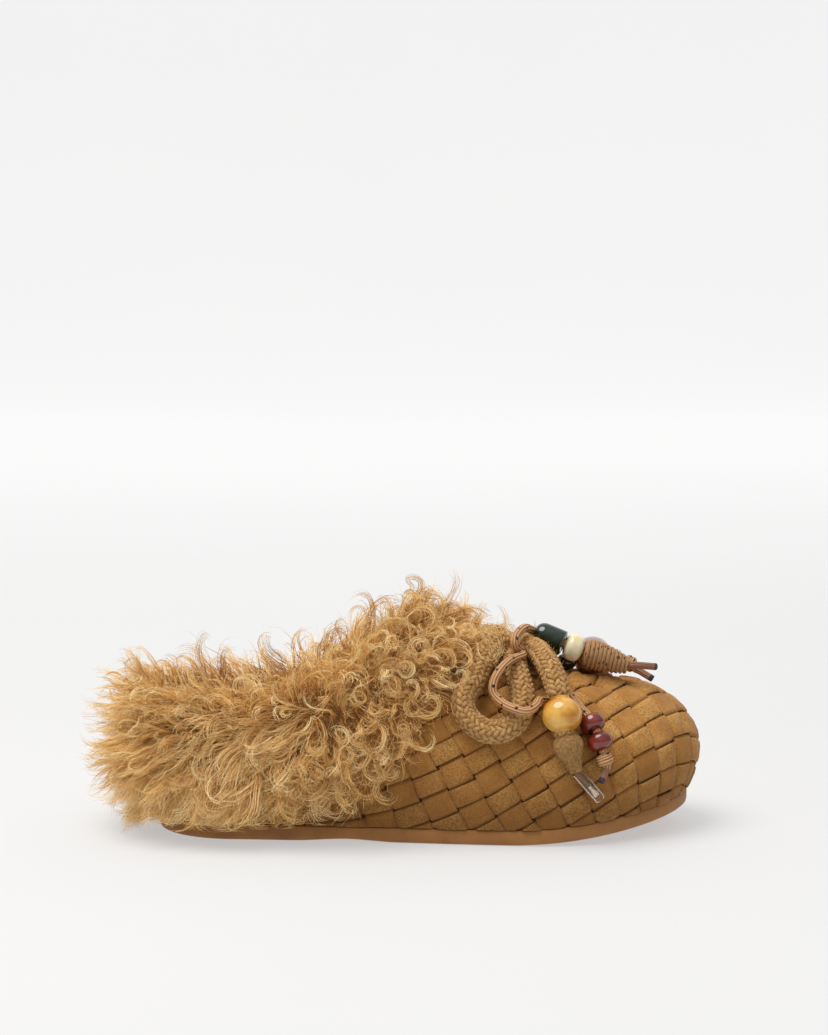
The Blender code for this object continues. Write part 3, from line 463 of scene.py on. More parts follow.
def ribbon_arrays(points, face, width, tone):
    """Thin ribbons along hairs or fibres, each a row of joints."""
    hairs, joints = points.shape[:2]
    tangent = unit(np.gradient(points, axis=1))
    side = unit(np.cross(tangent, face[:, None]))
    share = np.linspace(0, 1, joints)
    half = side * (width / 2 * (1 - (1 - HAIR_TIP) * share**TIP_POWER))[None, :, None]
    verts = np.stack([points - half, points + half], axis=2).reshape(-1, 3)
    first = (np.arange(hairs)[:, None] * joints + np.arange(joints - 1)) * 2
    faces = np.stack([first, first + 1, first + 3, first + 2], axis=-1).reshape(-1, 4)
    # tone falls toward the root, partly painted shade, and rises toward the tip, the hair's own colour
    shade = np.repeat((tone[:, None] + TIP_TONE * (share - 0.5)).ravel(), 2)
    return verts, faces, np.clip(shade, 0, 1)


# Materials

SOCKETS = {"ior": "IOR", "specular_ior_level": "Specular IOR Level"}
CORD_LINES, FLECK_STEP, FLECK_RINGS, FLECK_DRIFT, FLECK_SHARE = 9, 7.5 * MM, 3, 0.37, 0.17


class Finish:
    """A Principled material with short node chains."""

    def __init__(self, name, **sockets):
        self.material = bpy.data.materials.new(name)
        self.material.use_nodes = True
        self.tree = self.material.node_tree
        self.shader = self.tree.nodes["Principled BSDF"]
        for socket, value in sockets.items():
            socket = SOCKETS.get(socket, socket.replace("_", " ").title())
            self.shader.inputs[socket].default_value = value
        self.place = self.node("TexCoord").outputs["Object"]

    def feed(self, socket, value):
        """Link another node's output to a socket, or set the socket to a plain value."""
        if isinstance(value, bpy.types.NodeSocket):
            self.tree.links.new(value, socket)
        else:
            socket.default_value = value

    def node(self, kind, settings=None, **inputs):
        node = self.tree.nodes.new("ShaderNode" + kind)
        for key, value in (settings or {}).items():
            setattr(node, key, value)
        for key, value in inputs.items():
            self.feed(node.inputs[int(key[1:]) if key[0] == "_" else key.replace("_", " ")], value)
        return node

    def math(self, operation, first, second=0.5):
        return self.node("Math", {"operation": operation}, _0=first, _1=second).outputs[0]

    def layer(self, name, output="Fac"):
        return self.node("Attribute", {"attribute_name": name}).outputs[output]

    def grain(self, size, detail=2.0, rough=0.5):
        """Noise with features of a real size."""
        found = self.node("TexNoise", Vector=self.place, Scale=1 / size, Detail=detail, Roughness=rough)
        return found.outputs["Fac"]

    def spread(self, value, low, high, to_low, to_high, **settings):
        """A value carried from one range to another."""
        ranges = {"From_Min": low, "From_Max": high, "To_Min": to_low, "To_Max": to_high}
        return self.node("MapRange", settings, Value=value, **ranges).outputs[0]

    def ramp(self, factor, *stops):
        node = self.node("ValToRGB", Fac=factor)
        line = node.color_ramp.elements
        while len(line) < len(stops):
            line.new(0.5)
        for element, (place, colour) in zip(line, stops):
            element.position = place
            element.color = (*colour, 1)
        return node.outputs["Color"]

    def mix(self, factor, first, second, blend="MIX"):
        node = self.node("Mix", {"data_type": "RGBA", "blend_type": blend}, _0=factor)
        for socket, value in ((node.inputs[6], first), (node.inputs[7], second)):
            self.feed(socket, value if isinstance(value, bpy.types.NodeSocket) else (*value, 1))
        return node.outputs[2]

    def colour(self, value):
        self.feed(self.shader.inputs["Base Color"], value)

    def rough(self, factor, low, high):
        self.feed(self.shader.inputs["Roughness"], self.spread(factor, 0, 1, low, high))

    def bump(self, height, depth, strength=1.0, under=None):
        node = self.node("Bump", Height=height, Distance=depth, Strength=strength)
        if under:
            self.feed(node.inputs["Normal"], under)
        self.feed(self.shader.inputs["Normal"], node.outputs[0])
        return node.outputs[0]


def srgb(red, green, blue):
    """A colour given in the photograph's 0 to 255."""
    def linear(level):
        return level / 12.92 if level < 11 / 255 else ((level + 0.055) / 1.055) ** 2.4

    return tuple(linear(channel / 255) for channel in (red, green, blue))


def suede_finish(name="suede_nap", shade=1.0):
    """Brushed suede with painted shade toward the sole; a shade below 1 darkens all of it, also as painted
    shade.
    """
    def shaded(red, green, blue):
        return srgb(red * shade, green * shade, blue * shade)

    suede = Finish(name, roughness=0.95, sheen_weight=0.1, sheen_roughness=0.5, specular_ior_level=0.15)
    nap = suede.grain(0.8 * MM, 4, 0.7)
    cloud = suede.grain(9 * MM, 3)
    tone = suede.math("ADD", suede.layer("tone"), suede.math("MULTIPLY", cloud, 0.5))
    base = suede.ramp(tone, (0.25, shaded(150, 100, 48)), (0.6, shaded(198, 144, 78)),
                      (0.95, shaded(228, 182, 114)))
    # Painted shade: below 50 mm the colour is mixed toward dark brown, most at 10 mm, for the shade low on
    # the upper.
    height = suede.node("SeparateXYZ", Vector=suede.place).outputs["Z"]
    low = suede.spread(height, 10 * MM, 50 * MM, 0.7, 0.0)
    base = suede.mix(low, base, shaded(120, 78, 36))
    speck = suede.ramp(nap, (0.34, srgb(168, 154, 136)), (0.62, srgb(255, 250, 240)))
    sandy = suede.spread(suede.layer("tone"), 0.2, 0.5, 0.35, 1.0)
    suede.colour(suede.mix(sandy, base, speck, "MULTIPLY"))
    ruffle = suede.bump(cloud, 0.5 * MM, 0.35)
    suede.bump(nap, 0.3 * MM, 0.9, ruffle)
    return suede.material


def fur_finish():
    fur = Finish("fur_hair", roughness=0.6, specular_ior_level=0.25)
    tone = fur.layer("tone")
    fur.colour(fur.ramp(tone, (0.0, srgb(152, 104, 52)), (0.35, srgb(214, 164, 94)),
                        (0.65, srgb(244, 202, 132)), (1.0, srgb(255, 232, 176))))
    return fur.material


def woolly_finish(name, size, rough, low, high, depth, **sockets):
    """A matt finish of fibres: a cloudy colour, and a bump of the same grain."""
    wool = Finish(name, roughness=0.95, **sockets)
    fibre = wool.grain(size, 4, rough)
    wool.colour(wool.ramp(fibre, (0.3, low), (0.7, high)))
    wool.bump(fibre, depth)
    return wool.material


def down_finish():
    """The dense wool under the locks; darker than them, partly its own colour and partly painted shade for
    the recesses between locks.
    """
    return woolly_finish("fur_undercoat", 3 * MM, 0.65, srgb(150, 104, 56), srgb(210, 160, 98), 2 * MM)


def fleece_finish():
    low, high = srgb(150, 116, 76), srgb(206, 172, 124)
    return woolly_finish("fleece_pile", 2.2 * MM, 0.6, low, high, 1.2 * MM, sheen_weight=0.3)


def rubber_finish():
    rubber = Finish("caramel_rubber", roughness=0.55)
    cloud = rubber.grain(14 * MM, 4, 0.6)
    speck = rubber.grain(0.6 * MM, 2)
    rubber.colour(rubber.ramp(cloud, (0.3, srgb(146, 94, 42)), (0.7, srgb(170, 116, 56))))
    rubber.rough(cloud, 0.45, 0.7)
    rubber.bump(speck, 0.12 * MM, 0.5)
    return rubber.material


def rope_finish():
    rope = Finish("jute_braid", roughness=0.92, specular_ior_level=0.2)
    fibre = rope.grain(0.5 * MM, 3)
    tone = rope.math("ADD", rope.layer("tone"), rope.math("MULTIPLY", fibre, 0.5))
    rope.colour(rope.ramp(tone, (0.3, srgb(98, 64, 34)), (0.6, srgb(158, 114, 66)),
                          (0.95, srgb(212, 170, 112))))
    rope.bump(fibre, 0.5 * MM)
    return rope.material


def felt_finish():
    low, high = srgb(128, 90, 50), srgb(206, 162, 104)
    return woolly_finish("felted_rope", 1.1 * MM, 0.7, low, high, 1.2 * MM, specular_ior_level=0.2)


def cord_finish(name, bare_from=None, dark_from=None):
    """A tan cord with lines along it and paired flecks, bare past bare_from and dipped past dark_from."""
    cord = Finish(name, roughness=0.62)
    parts = cord.node("SeparateXYZ", Vector=cord.layer("cord", "Vector")).outputs
    turn = cord.math("DIVIDE", cord.math("ARCTAN2", parts["Y"], parts["X"]), TAU)
    lines = cord.math("SINE", cord.math("MULTIPLY", turn, TAU * CORD_LINES))
    groove = cord.math("MULTIPLY_ADD", lines, 0.5)
    base = cord.ramp(groove, (0.1, srgb(158, 106, 62)), (0.75, srgb(214, 166, 114)))
    step = cord.math("DIVIDE", parts["Z"], FLECK_STEP)
    ring = cord.math("MULTIPLY", turn, FLECK_RINGS)
    drift = cord.math("ADD", ring, cord.math("MULTIPLY", step, FLECK_DRIFT))
    beat = cord.math("FRACT", cord.math("ADD", step, cord.math("MULTIPLY", cord.math("FLOOR", drift), 0.5)))
    off = cord.math("ABSOLUTE", cord.math("SUBTRACT", cord.math("FRACT", drift), 0.5))
    tick = cord.math("LESS_THAN", beat, FLECK_SHARE)
    pair = cord.math("LESS_THAN", off, FLECK_SHARE)
    colour = cord.mix(cord.math("MULTIPLY", tick, pair), base, srgb(40, 24, 26))
    for start, dye in ((bare_from, srgb(150, 104, 80)), (dark_from, srgb(74, 50, 66))):
        if start is not None:
            colour = cord.mix(cord.math("GREATER_THAN", parts["Z"], start), colour, dye)
    cord.colour(colour)
    cord.bump(lines, 0.25 * MM, 0.8)
    return cord.material


def bead_finish(name, low, high, size, **sockets):
    """A polished bead with a cloudy colour."""
    bead = Finish(name, roughness=0.12, coat_weight=0.6, coat_roughness=0.05, **sockets)
    bead.colour(bead.ramp(bead.grain(size, 3), (0.35, low), (0.65, high)))
    return bead.material


def clear_finish():
    tint = (0.8, 0.66, 0.5, 1)
    clear = Finish("clear_tube", base_color=tint, roughness=0.08, transmission_weight=0.95, ior=1.3)
    clear.bump(clear.grain(3 * MM, 2), 0.1 * MM, 0.3)
    return clear.material


# Camera, stage and light

BACKDROP_FRONT, BACKDROP_BACK, BACKDROP_TOP, BACKDROP_HALF = -4.0, 2.2, 4.0, 5.0
BACKDROP_ROUND, BACKDROP_STEPS = 0.9, 16
PAPER_CLOUD, PAPER_LOW, PAPER_HIGH = 0.4, (0.33, 0.33, 0.33), (0.34, 0.34, 0.34)
GLOW_FROM, GLOW_TO, GLOW_NEAR, GLOW_FAR = 0.1, 2.0, 0.45, 0.66
ROOM_LOW, ROOM_HIGH = 0.15, 0.8
KEY_PLACE, KEY_AIM = (-0.45, -0.3, 1.5), (-0.02, 0, 0.04)
KEY_SIZE, KEY_POWER, KEY_COLOUR = 1.2, 20.5, (1.0, 0.98, 0.95)


def add_camera():
    ahead = Vector((0, math.cos(ELEVATION), -math.sin(ELEVATION)))
    above = Vector((0, math.sin(ELEVATION), math.cos(ELEVATION)))
    aim = ahead * -AIM_HEIGHT * math.sin(ELEVATION) + above * AIM_RISE + Vector((AIM_X, 0, 0))
    data = bpy.data.cameras.new("photo_view")
    data.sensor_width = SENSOR
    data.lens = SENSOR * DISTANCE / (PHOTO_HEIGHT_PX * PIXEL)
    camera = add_object("photo_view", data)
    camera.location = aim - ahead * DISTANCE
    camera.rotation_euler = ahead.to_track_quat("-Z", "Y").to_euler()
    bpy.context.scene.camera = camera


def add_stage():
    """A pale floor that rolls up into the wall behind and glows more toward it."""
    profile = [(BACKDROP_FRONT, 0.0)]
    for i in range(BACKDROP_STEPS + 1):
        turn = math.pi / 2 * i / BACKDROP_STEPS
        depth = BACKDROP_BACK + BACKDROP_ROUND * math.sin(turn)
        profile.append((depth, BACKDROP_ROUND * (1 - math.cos(turn))))
    profile.append((BACKDROP_BACK + BACKDROP_ROUND, BACKDROP_TOP))
    verts = [(x, y, z) for y, z in profile for x in (-BACKDROP_HALF, BACKDROP_HALF)]
    paper = Finish("pale_paper", roughness=0.9, emission_color=(1, 1, 1, 1))
    paper.colour(paper.ramp(paper.grain(PAPER_CLOUD), (0.3, PAPER_LOW), (0.7, PAPER_HIGH)))
    away = paper.node("SeparateXYZ", Vector=paper.place).outputs["Y"]
    glow = paper.spread(away, GLOW_FROM, GLOW_TO, GLOW_NEAR, GLOW_FAR, interpolation_type="SMOOTHSTEP")
    paper.feed(paper.shader.inputs["Emission Strength"], glow)
    floor = add_mesh("floor", verts, ring_faces(len(profile), 2, closed=False), paper.material)
    floor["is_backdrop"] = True


def add_room():
    """A soft room that is brighter overhead."""
    world = bpy.data.worlds.new("studio")
    world.use_nodes = True
    tree = world.node_tree
    room = tree.nodes["Background"]
    room.inputs["Color"].default_value = (1, 1, 1, 1)
    way = tree.nodes.new("ShaderNodeSeparateXYZ")
    tree.links.new(tree.nodes.new("ShaderNodeTexCoord").outputs["Generated"], way.inputs[0])
    rise = tree.nodes.new("ShaderNodeMapRange")
    tree.links.new(way.outputs["Z"], rise.inputs["Value"])
    rise.inputs["To Min"].default_value = ROOM_LOW
    rise.inputs["To Max"].default_value = ROOM_HIGH
    tree.links.new(rise.outputs[0], room.inputs["Strength"])
    bpy.context.scene.world = world
    bpy.context.scene.view_settings.view_transform = "Standard"


def add_key():
    """A broad light above the heel."""
    data = bpy.data.lights.new("key", "AREA")
    data.shape = "DISK"
    data.size = KEY_SIZE
    data.energy = KEY_POWER
    data.color = KEY_COLOUR
    key = add_object("key", data)
    key.location = KEY_PLACE
    key.rotation_euler = (Vector(KEY_AIM) - Vector(KEY_PLACE)).to_track_quat("-Z", "Y").to_euler()


# Bow

Turn = namedtuple("Turn", "radius share")
BALL = (Turn(3.6 * MM, 0.0), Turn(6.2 * MM, 0.12), Turn(7.2 * MM, 0.33), Turn(6.0 * MM, 0.53),
        Turn(4.3 * MM, 0.70), Turn(3.6 * MM, 0.84), Turn(3.0 * MM, 1.0))
AGLET = (Turn(2.6 * MM, 0.0), Turn(2.9 * MM, 0.06), Turn(2.9 * MM, 0.94), Turn(2.6 * MM, 1.0))
TUBE_BEAD = (Turn(2.3 * MM, 0.0), Turn(4.0 * MM, 0.05), Turn(5.3 * MM, 0.14), Turn(6.0 * MM, 0.27),
             Turn(6.1 * MM, 0.4), Turn(6.1 * MM, 0.93), Turn(5.8 * MM, 0.98), Turn(5.2 * MM, 1.0))
CONE = (Turn(5.4 * MM, 0.0), Turn(6.9 * MM, 0.12), Turn(7.2 * MM, 0.33), Turn(6.5 * MM, 0.6),
        Turn(5.2 * MM, 0.85), Turn(4.2 * MM, 1.0))

# Fineness of turned beads
BEAD_ROWS, BEAD_SIDES = 22, 36
PROFILE_LENGTH, PROFILE_STEP = 10 * MM, 0.25 * MM

# Braid of the rope; tones run from 0, dark, to 1, light
BRAID_STRANDS, BRAID_PITCH, BRAID_STEP, BRAID_SIDES = 12, 33 * MM, 1.0 * MM, 5
BRAID_WIDTH, BRAID_THICK, BRAID_WEAVE, BRAID_FLAT = 2.2 * MM, 1.7 * MM, 0.42 * MM, 1.4
BRAID_WOBBLE, WOBBLE_STEP = 0.3 * MM, 2.5 * MM
# The lift tone darkens each strand where it passes under, and the core's low tone darkens the gaps between
# strands: painted shade
BRAID_TONE, LIFT_SHADE_TONE, STRAND_TONES, SPOT_TONE = 0.3, 0.2, (0.02, 0.16), 0.05
BRAID_CORE, BRAID_CORE_SIDES, BRAID_CORE_TONE = 0.74, 10, 0.1
BRAID_SEED, FUZZ_SEED = 3, 5

# Loose fibres on the rope
FUZZ_STEP, FUZZ_WIDTH, FUZZ_JOINTS = 0.14 * MM, 0.16 * MM, 6
FUZZ_SHORT, FUZZ_LONG = 1.6 * MM, 4.2 * MM
FUZZ_STRAY, FUZZ_RISE = 0.5, (0.1, 0.7)
FUZZ_SWAY, FUZZ_BEND = 0.3, (-0.3, 0.4)
FUZZ_ROOT, FUZZ_TONES = 0.93, (0.2, 0.6)

# The rope's end in its bead and ball, and its core in the end tube
ROPE_IN_BEAD, ROPE_IN_BALL = 0.42, 0.55
NARROW_BEFORE, NARROW_RUN, NARROW_PAST = 1 * MM, 4 * MM, 3 * MM
CORE_BEFORE, CORE_REACH, CORE_RADIUS, CORE_END = 1 * MM, 0.55, 2.0 * MM, 0.9 * MM

# Thin cords, the binding of the cone, the stopper knots and the bow's knot
DIP, TAIL_RUN = 1.6 * MM, 2 * MM
CORD_POINT_STEP, CORD_SIDES = 1.0 * MM, 14
WRAP_TURNS, WRAP_DIAMETER, WRAP_STEPS, WRAP_SIDES = 11, 2.0 * MM, 26, 8
WRAP_SINK, WRAP_BORE = 0.6, 1.8 * MM
STOP_TURNS, STOP_RADIUS, STOP_CORD, STOP_SIDES = 2.2, 2.3 * MM, 1.9 * MM, 12
STOP_FROM, STOP_TO, STOP_ENDS, STOP_FULLNESS = 0.22, 0.78, 0.05, 0.35
KNOT_STEPS, KNOT_OPEN = 40, 0.05
KNOT_RADIUS, KNOT_WIDTH, KNOT_ROPE = 3.6 * MM, 4 * MM, 4.4 * MM


class Strand:
    """A route from the knot over the upper, measured along its length."""

    def __init__(self, side, knot, route):
        spots = [on_upper(side, row) for row in route]
        spots.insert(0, leave(knot, spots[0]))
        self.points = smooth_curve(spots, STRAND_STEP)
        length = sum((b - a).length for a, b in zip(self.points, self.points[1:]))
        self.step = length / (len(self.points) - 1)
        self.spots = spots

    def at(self, reach):
        k = max(0, min(int(reach / self.step), len(self.points) - 2))
        return self.points[k].lerp(self.points[k + 1], reach / self.step - k)

    def reach_of(self, row):
        """How far along the strand a row of its route lies."""
        spot = self.spots[row + 1]
        nearest = min(range(len(self.points)), key=lambda i: (self.points[i] - spot).length)
        return nearest * self.step

    def stretch(self, start, end, step):
        count = max(2, round((end - start) / step))
        return np.array([self.at(start + (end - start) * i / count) for i in range(count + 1)])


def leave(knot, target):
    """Where a cord that runs to target comes out of the knot."""
    return knot + (target - knot).normalized() * KNOT_REACH


def knot_middle():
    place = Route(KNOT_X, KNOT_GIRTH, KNOT_LIFT)
    return on_upper(LATERAL, place).lerp(on_upper(MEDIAL, place), 0.5)


def braid_arrays(line, radii):
    """A round braid of strands that pass two over and two under, on a plain core."""
    tangent, across, over = frames_along(line)
    reach = reach_along(line)
    size = radii / (ROPE_DIAMETER / 2)
    lean = np.arange(BRAID_SIDES) * TAU / BRAID_SIDES
    marks = np.arange(0, reach[-1] + WOBBLE_STEP, WOBBLE_STEP)
    dice = np.random.default_rng(BRAID_SEED)
    parts = []
    for way in (1, -1):
        for k in range(BRAID_STRANDS):
            turn = TAU * (way * reach / BRAID_PITCH + k / BRAID_STRANDS)
            phase = math.pi / 2 * (2 * k + way * 2 * BRAID_STRANDS * reach / BRAID_PITCH) + math.pi / 4
            lift = way * np.clip(BRAID_FLAT * np.sin(phase), -1, 1) * BRAID_WEAVE
            radial = across * np.cos(turn)[:, None] + over * np.sin(turn)[:, None]
            wobble = np.interp(reach, marks, dice.normal(0, BRAID_WOBBLE, len(marks)))
            middle = line + radial * (radii - size * BRAID_THICK / 2 + lift - BRAID_WEAVE)[:, None]
            middle = middle + np.cross(radial, tangent) * (wobble * size)[:, None]
            beside = unit(np.cross(unit(np.gradient(middle, axis=0)), radial))
            high = radial[:, None] * np.cos(lean)[None, :, None] * BRAID_THICK / 2
            wide = beside[:, None] * np.sin(lean)[None, :, None] * BRAID_WIDTH / 2
            verts = (middle[:, None] + (high + wide) * size[:, None, None]).reshape(-1, 3)
            # painted shade: the tone falls where the strand passes under
            tone = BRAID_TONE + LIFT_SHADE_TONE * lift / BRAID_WEAVE + dice.uniform(*STRAND_TONES)
            tone = tone + dice.normal(0, SPOT_TONE, len(line))
            parts.append((verts, ring_faces(len(line), BRAID_SIDES), np.repeat(tone, BRAID_SIDES)))
    verts, faces, _ = tube_arrays(line, radii * BRAID_CORE, BRAID_CORE_SIDES)
    parts.append((verts, faces, np.full(len(verts), BRAID_CORE_TONE)))
    return join_arrays(parts)


def add_rope(name, line, radii, material):
    verts, faces, tone = braid_arrays(line, radii)
    return add_mesh(name, verts, faces, material, {"tone": tone})


def fuzz_arrays(line, radii, dice):
    """Loose fibres that lift off a rope and lie along it."""
    tangent, across, over = frames_along(line)
    count = round(length_of(line) / FUZZ_STEP)
    spot = dice.integers(0, len(line), count)
    turn = dice.uniform(0, TAU, count)[:, None]
    radial = across[spot] * np.cos(turn) + over[spot] * np.sin(turn)
    away = tangent[spot] * dice.choice((-1.0, 1.0), (count, 1)) + dice.normal(0, FUZZ_STRAY, (count, 3))
    away = unit(away + radial * dice.uniform(*FUZZ_RISE, (count, 1)))
    bend = radial * dice.uniform(*FUZZ_BEND, (count, 1)) + dice.normal(0, FUZZ_SWAY, (count, 3))
    share = np.linspace(0, 1, FUZZ_JOINTS)[None, :, None]
    length = dice.uniform(FUZZ_SHORT, FUZZ_LONG, count)[:, None, None]
    start = line[spot] + radial * radii[spot][:, None] * FUZZ_ROOT
    points = start[:, None] + (away[:, None] * share + bend[:, None] * share**2) * length
    face = unit(dice.normal(0, 1, (count, 3)))
    return ribbon_arrays(points, face, FUZZ_WIDTH, dice.uniform(*FUZZ_TONES, count))


def add_fuzz(ropes, material):
    """The loose fibres of all the ropes as one piece."""
    dice = np.random.default_rng(FUZZ_SEED)
    verts, faces, tone = join_arrays([fuzz_arrays(line, radii, dice) for line, radii in ropes])
    return settle(add_mesh("rope_fuzz", verts, faces, material, {"tone": tone}), "rope")


def add_cord(name, line, radii, material):
    verts, faces, coordinates = tube_arrays(line, radii, CORD_SIDES)
    return add_mesh(name, verts, faces, material, {"cord": coordinates})


def round_profile(radius, squareness):
    """A round bead's outer side: 1 is a ball, more is a fuller drum."""
    turns = []
    for i in range(1, BEAD_ROWS):
        height = -math.cos(math.pi * i / BEAD_ROWS)
        turns.append(Turn(radius * (1 - abs(height) ** (2 * squareness)) ** 0.5, (1 + height) / 2))
    return turns


def smooth_profile(profile):
    """A profile's few rows as a smooth curve."""
    rows = [Vector((turn.radius, turn.share * PROFILE_LENGTH, 0)) for turn in profile]
    return [Turn(spot.x, spot.y / PROFILE_LENGTH) for spot in smooth_curve(rows, PROFILE_STEP)]


def about_line(start, end):
    """Gives points about the line from start to end, by radius, angle and share of the way."""
    axis = end - start
    turn = UP.rotation_difference(axis).to_matrix()

    def spot(radius, angle, share):
        around = Vector((radius * math.cos(angle), radius * math.sin(angle), axis.length * share))
        return start + turn @ around

    return spot


def turned_arrays(start, end, profile, bore):
    """A piece turned about the line from start to end, with a bore right through it."""
    spot = about_line(start, end)
    rows = [(bore, profile[0].share), *profile, (bore, profile[-1].share), (bore, profile[0].share)]
    verts = [spot(radius, TAU * k / BEAD_SIDES, share) for radius, share in rows for k in range(BEAD_SIDES)]
    return np.array(verts), np.flip(ring_faces(len(rows), BEAD_SIDES), axis=1)


def add_turned(name, start, end, profile, bore, material):
    return add_mesh(name, *turned_arrays(start, end, profile, bore), material)


def helix(start, end, radius_at, turns, steps):
    """Points that wind about the line from start to end."""
    spot = about_line(start, end)
    points = []
    for i in range(round(turns * steps) + 1):
        share = i / (turns * steps)
        points.append(spot(radius_at(share), TAU * i / steps, share))
    return np.array(points)


Bead = namedtuple("Bead", "name length profile bore finish slot")


def make_finishes():
    """The bow's materials by name."""
    return {
        "rope": rope_finish(),
        "cord": cord_finish("flecked_cord"),
        "felt": felt_finish(),
        "amber": bead_finish("amber_resin", srgb(196, 128, 30), srgb(232, 180, 84), 8 * MM),
        "clear": clear_finish(),
        "red": bead_finish("red_resin", srgb(84, 22, 14), srgb(138, 46, 30), 4 * MM),
        "green": bead_finish("green_glass", srgb(3, 14, 5), srgb(14, 44, 16), 4 * MM),
        "cream": bead_finish("cream_glaze", srgb(226, 208, 156), srgb(240, 230, 200), 6 * MM),
        "dark": bead_finish("dark_resin", srgb(14, 18, 14), srgb(34, 40, 30), 3 * MM),
        "rose": bead_finish("rose_resin", srgb(128, 72, 58), srgb(176, 122, 100), 8 * MM,
                            transmission_weight=0.3),
        "pale": bead_finish("pale_glass", srgb(170, 184, 160), srgb(206, 214, 196), 5 * MM,
                            transmission_weight=0.7),
    }


def bead_tables():
    """The pieces on each end of the bow, from the knot outward; stopper knots and tails have no profile."""
    rope = (
        Bead("amber_bead", 17.5 * MM, round_profile(9.5 * MM, 1.1), 4.6 * MM, "amber", "amber_resin"),
        Bead("rope_ball", 19 * MM, smooth_profile(BALL), 0.5 * MM, "felt", "felt"),
        Bead("aglet", 17 * MM, smooth_profile(AGLET), 2.2 * MM, "clear", "clear_plastic"),
    )
    cord = (
        Bead("red_bead_upper", 9.2 * MM, round_profile(6.1 * MM, 1.3), 2.3 * MM, "red", "red_resin"),
        Bead("red_bead_lower", 9.2 * MM, round_profile(6.1 * MM, 1.3), 2.3 * MM, "red", "red_resin"),
        Bead("cord_stop", 8 * MM, None, 0, "cord", "cord"),
        Bead("cord_tail", 7 * MM, None, 0, "cord", "cord_core"),
    )
    first = (
        Bead("green_tube_bead", 15.5 * MM, smooth_profile(TUBE_BEAD), 2.3 * MM, "green", "green_glass"),
        Bead("cream_bead", 9.6 * MM, round_profile(6.7 * MM, 1.8), 2.3 * MM, "cream", "cream_ceramic"),
        Bead("wrapped_cone", 22 * MM, smooth_profile(CONE), 2.3 * MM, "cord", "cord"),
        Bead("first_tail", 16 * MM, None, 0, "cord", "cord_core"),
    )
    second = (
        Bead("dark_bead", 9 * MM, round_profile(4.2 * MM, 1.6), 2.2 * MM, "dark", "dark_glass"),
        Bead("rose_bead", 20 * MM, round_profile(9.4 * MM, 1.1), 2.3 * MM, "rose", "rose_resin"),
        Bead("pale_bead", 7 * MM, round_profile(3.3 * MM, 1.2), 2.2 * MM, "pale", "pale_glass"),
        Bead("second_stop", 8 * MM, None, 0, "cord", "cord"),
        Bead("second_tail", 9.5 * MM, None, 0, "cord", "cord_core"),
    )
    return rope, cord, first, second


def wrap_cone(name, start, end, profile, material):
    """A cone bound with thin cord, turn by turn."""
    def radius_at(share):
        return np.interp(share, [t.share for t in profile], [t.radius for t in profile]) - WRAP_DIAMETER / 2

    coil = tube_arrays(helix(start, end, radius_at, WRAP_TURNS, WRAP_STEPS), WRAP_DIAMETER / 2, WRAP_SIDES)
    core = [Turn(t.radius - WRAP_DIAMETER * WRAP_SINK, t.share) for t in profile]
    verts, faces = turned_arrays(start, end, core, WRAP_BORE)
    inside = verts, faces, np.tile((1.0, 0, 0), (len(verts), 1))
    verts, faces, layer = join_arrays([coil, inside])
    return add_mesh(name, verts, faces, material, {"cord": layer})


def tie_stop(name, start, end, material):
    """A stopper knot: the cord wound about itself."""
    def radius_at(share):
        share = min(1 - STOP_ENDS, max(STOP_ENDS, share))
        return STOP_RADIUS * math.sin(math.pi * share) ** STOP_FULLNESS

    line = helix(start.lerp(end, STOP_FROM), start.lerp(end, STOP_TO), radius_at, STOP_TURNS, WRAP_STEPS)
    verts, faces, layer = tube_arrays(line, STOP_CORD, STOP_SIDES)
    return add_mesh(name, verts, faces, material, {"cord": layer})


def thread(strand, row, beads, suffix, finish):
    """Thread beads on a strand, the middle of the first one at a row of its route."""
    start = strand.reach_of(row) - beads[0].length / 2
    made = []
    for bead in beads:
        name = bead.name + suffix
        end = start + bead.length
        spots = strand.at(start), strand.at(end)
        if bead.name == "wrapped_cone":
            piece = wrap_cone(name, *spots, bead.profile, finish["cord"])
        elif bead.name.endswith("_stop"):
            piece = tie_stop(name, *spots, finish["cord"])
        elif bead.profile:
            piece = add_turned(name, *spots, bead.profile, bead.bore, finish[bead.finish])
        else:
            continue
        piece.name = f"{name}_dressed"
        made.append(settle(piece, bead.slot, name))
        start = end + PIECE_GAP
    return made


def declare_cord(line, diameter):
    length_of(line)


def loop_line(side, knot, route, step):
    """A loop that leaves the knot and comes back to it."""
    spots = [on_upper(side, row) for row in route]
    return np.array(smooth_curve([leave(knot, spots[0]), *spots, leave(knot, spots[-1])], step))


def build_bow_side(side, knot, finish, rope_beads, cord_beads):
    """The loops and ends on one side; gives the lines and radii that fuzz grows on."""
    where = "outer" if side == LATERAL else "inner"
    line = loop_line(side, knot, ROPE_LOOP, BRAID_STEP)
    loop = line, np.full(len(line), ROPE_DIAMETER / 2)
    piece = add_rope(f"rope_loop_{where}_dressed", *loop, finish["rope"])
    declare_cord(line, ROPE_DIAMETER)
    settle(piece, "rope", f"rope_loop_{where}")
    line = loop_line(side, knot, CORD_LOOP, CORD_POINT_STEP)
    piece = add_cord(f"cord_loop_{where}_dressed", line, CORD_DIAMETER / 2, finish["cord"])
    declare_cord(line, CORD_DIAMETER)
    settle(piece, "cord", f"cord_loop_{where}")
    ends = build_rope_end(Strand(side, knot, ROPE_END), where, finish, rope_beads)
    build_cord_end(Strand(side, knot, CORD_END), RED_ROW, cord_beads, f"_{where}", finish,
                   (f"cord_end_{where}", f"cord_tail_{where}"))
    return [loop, *ends]


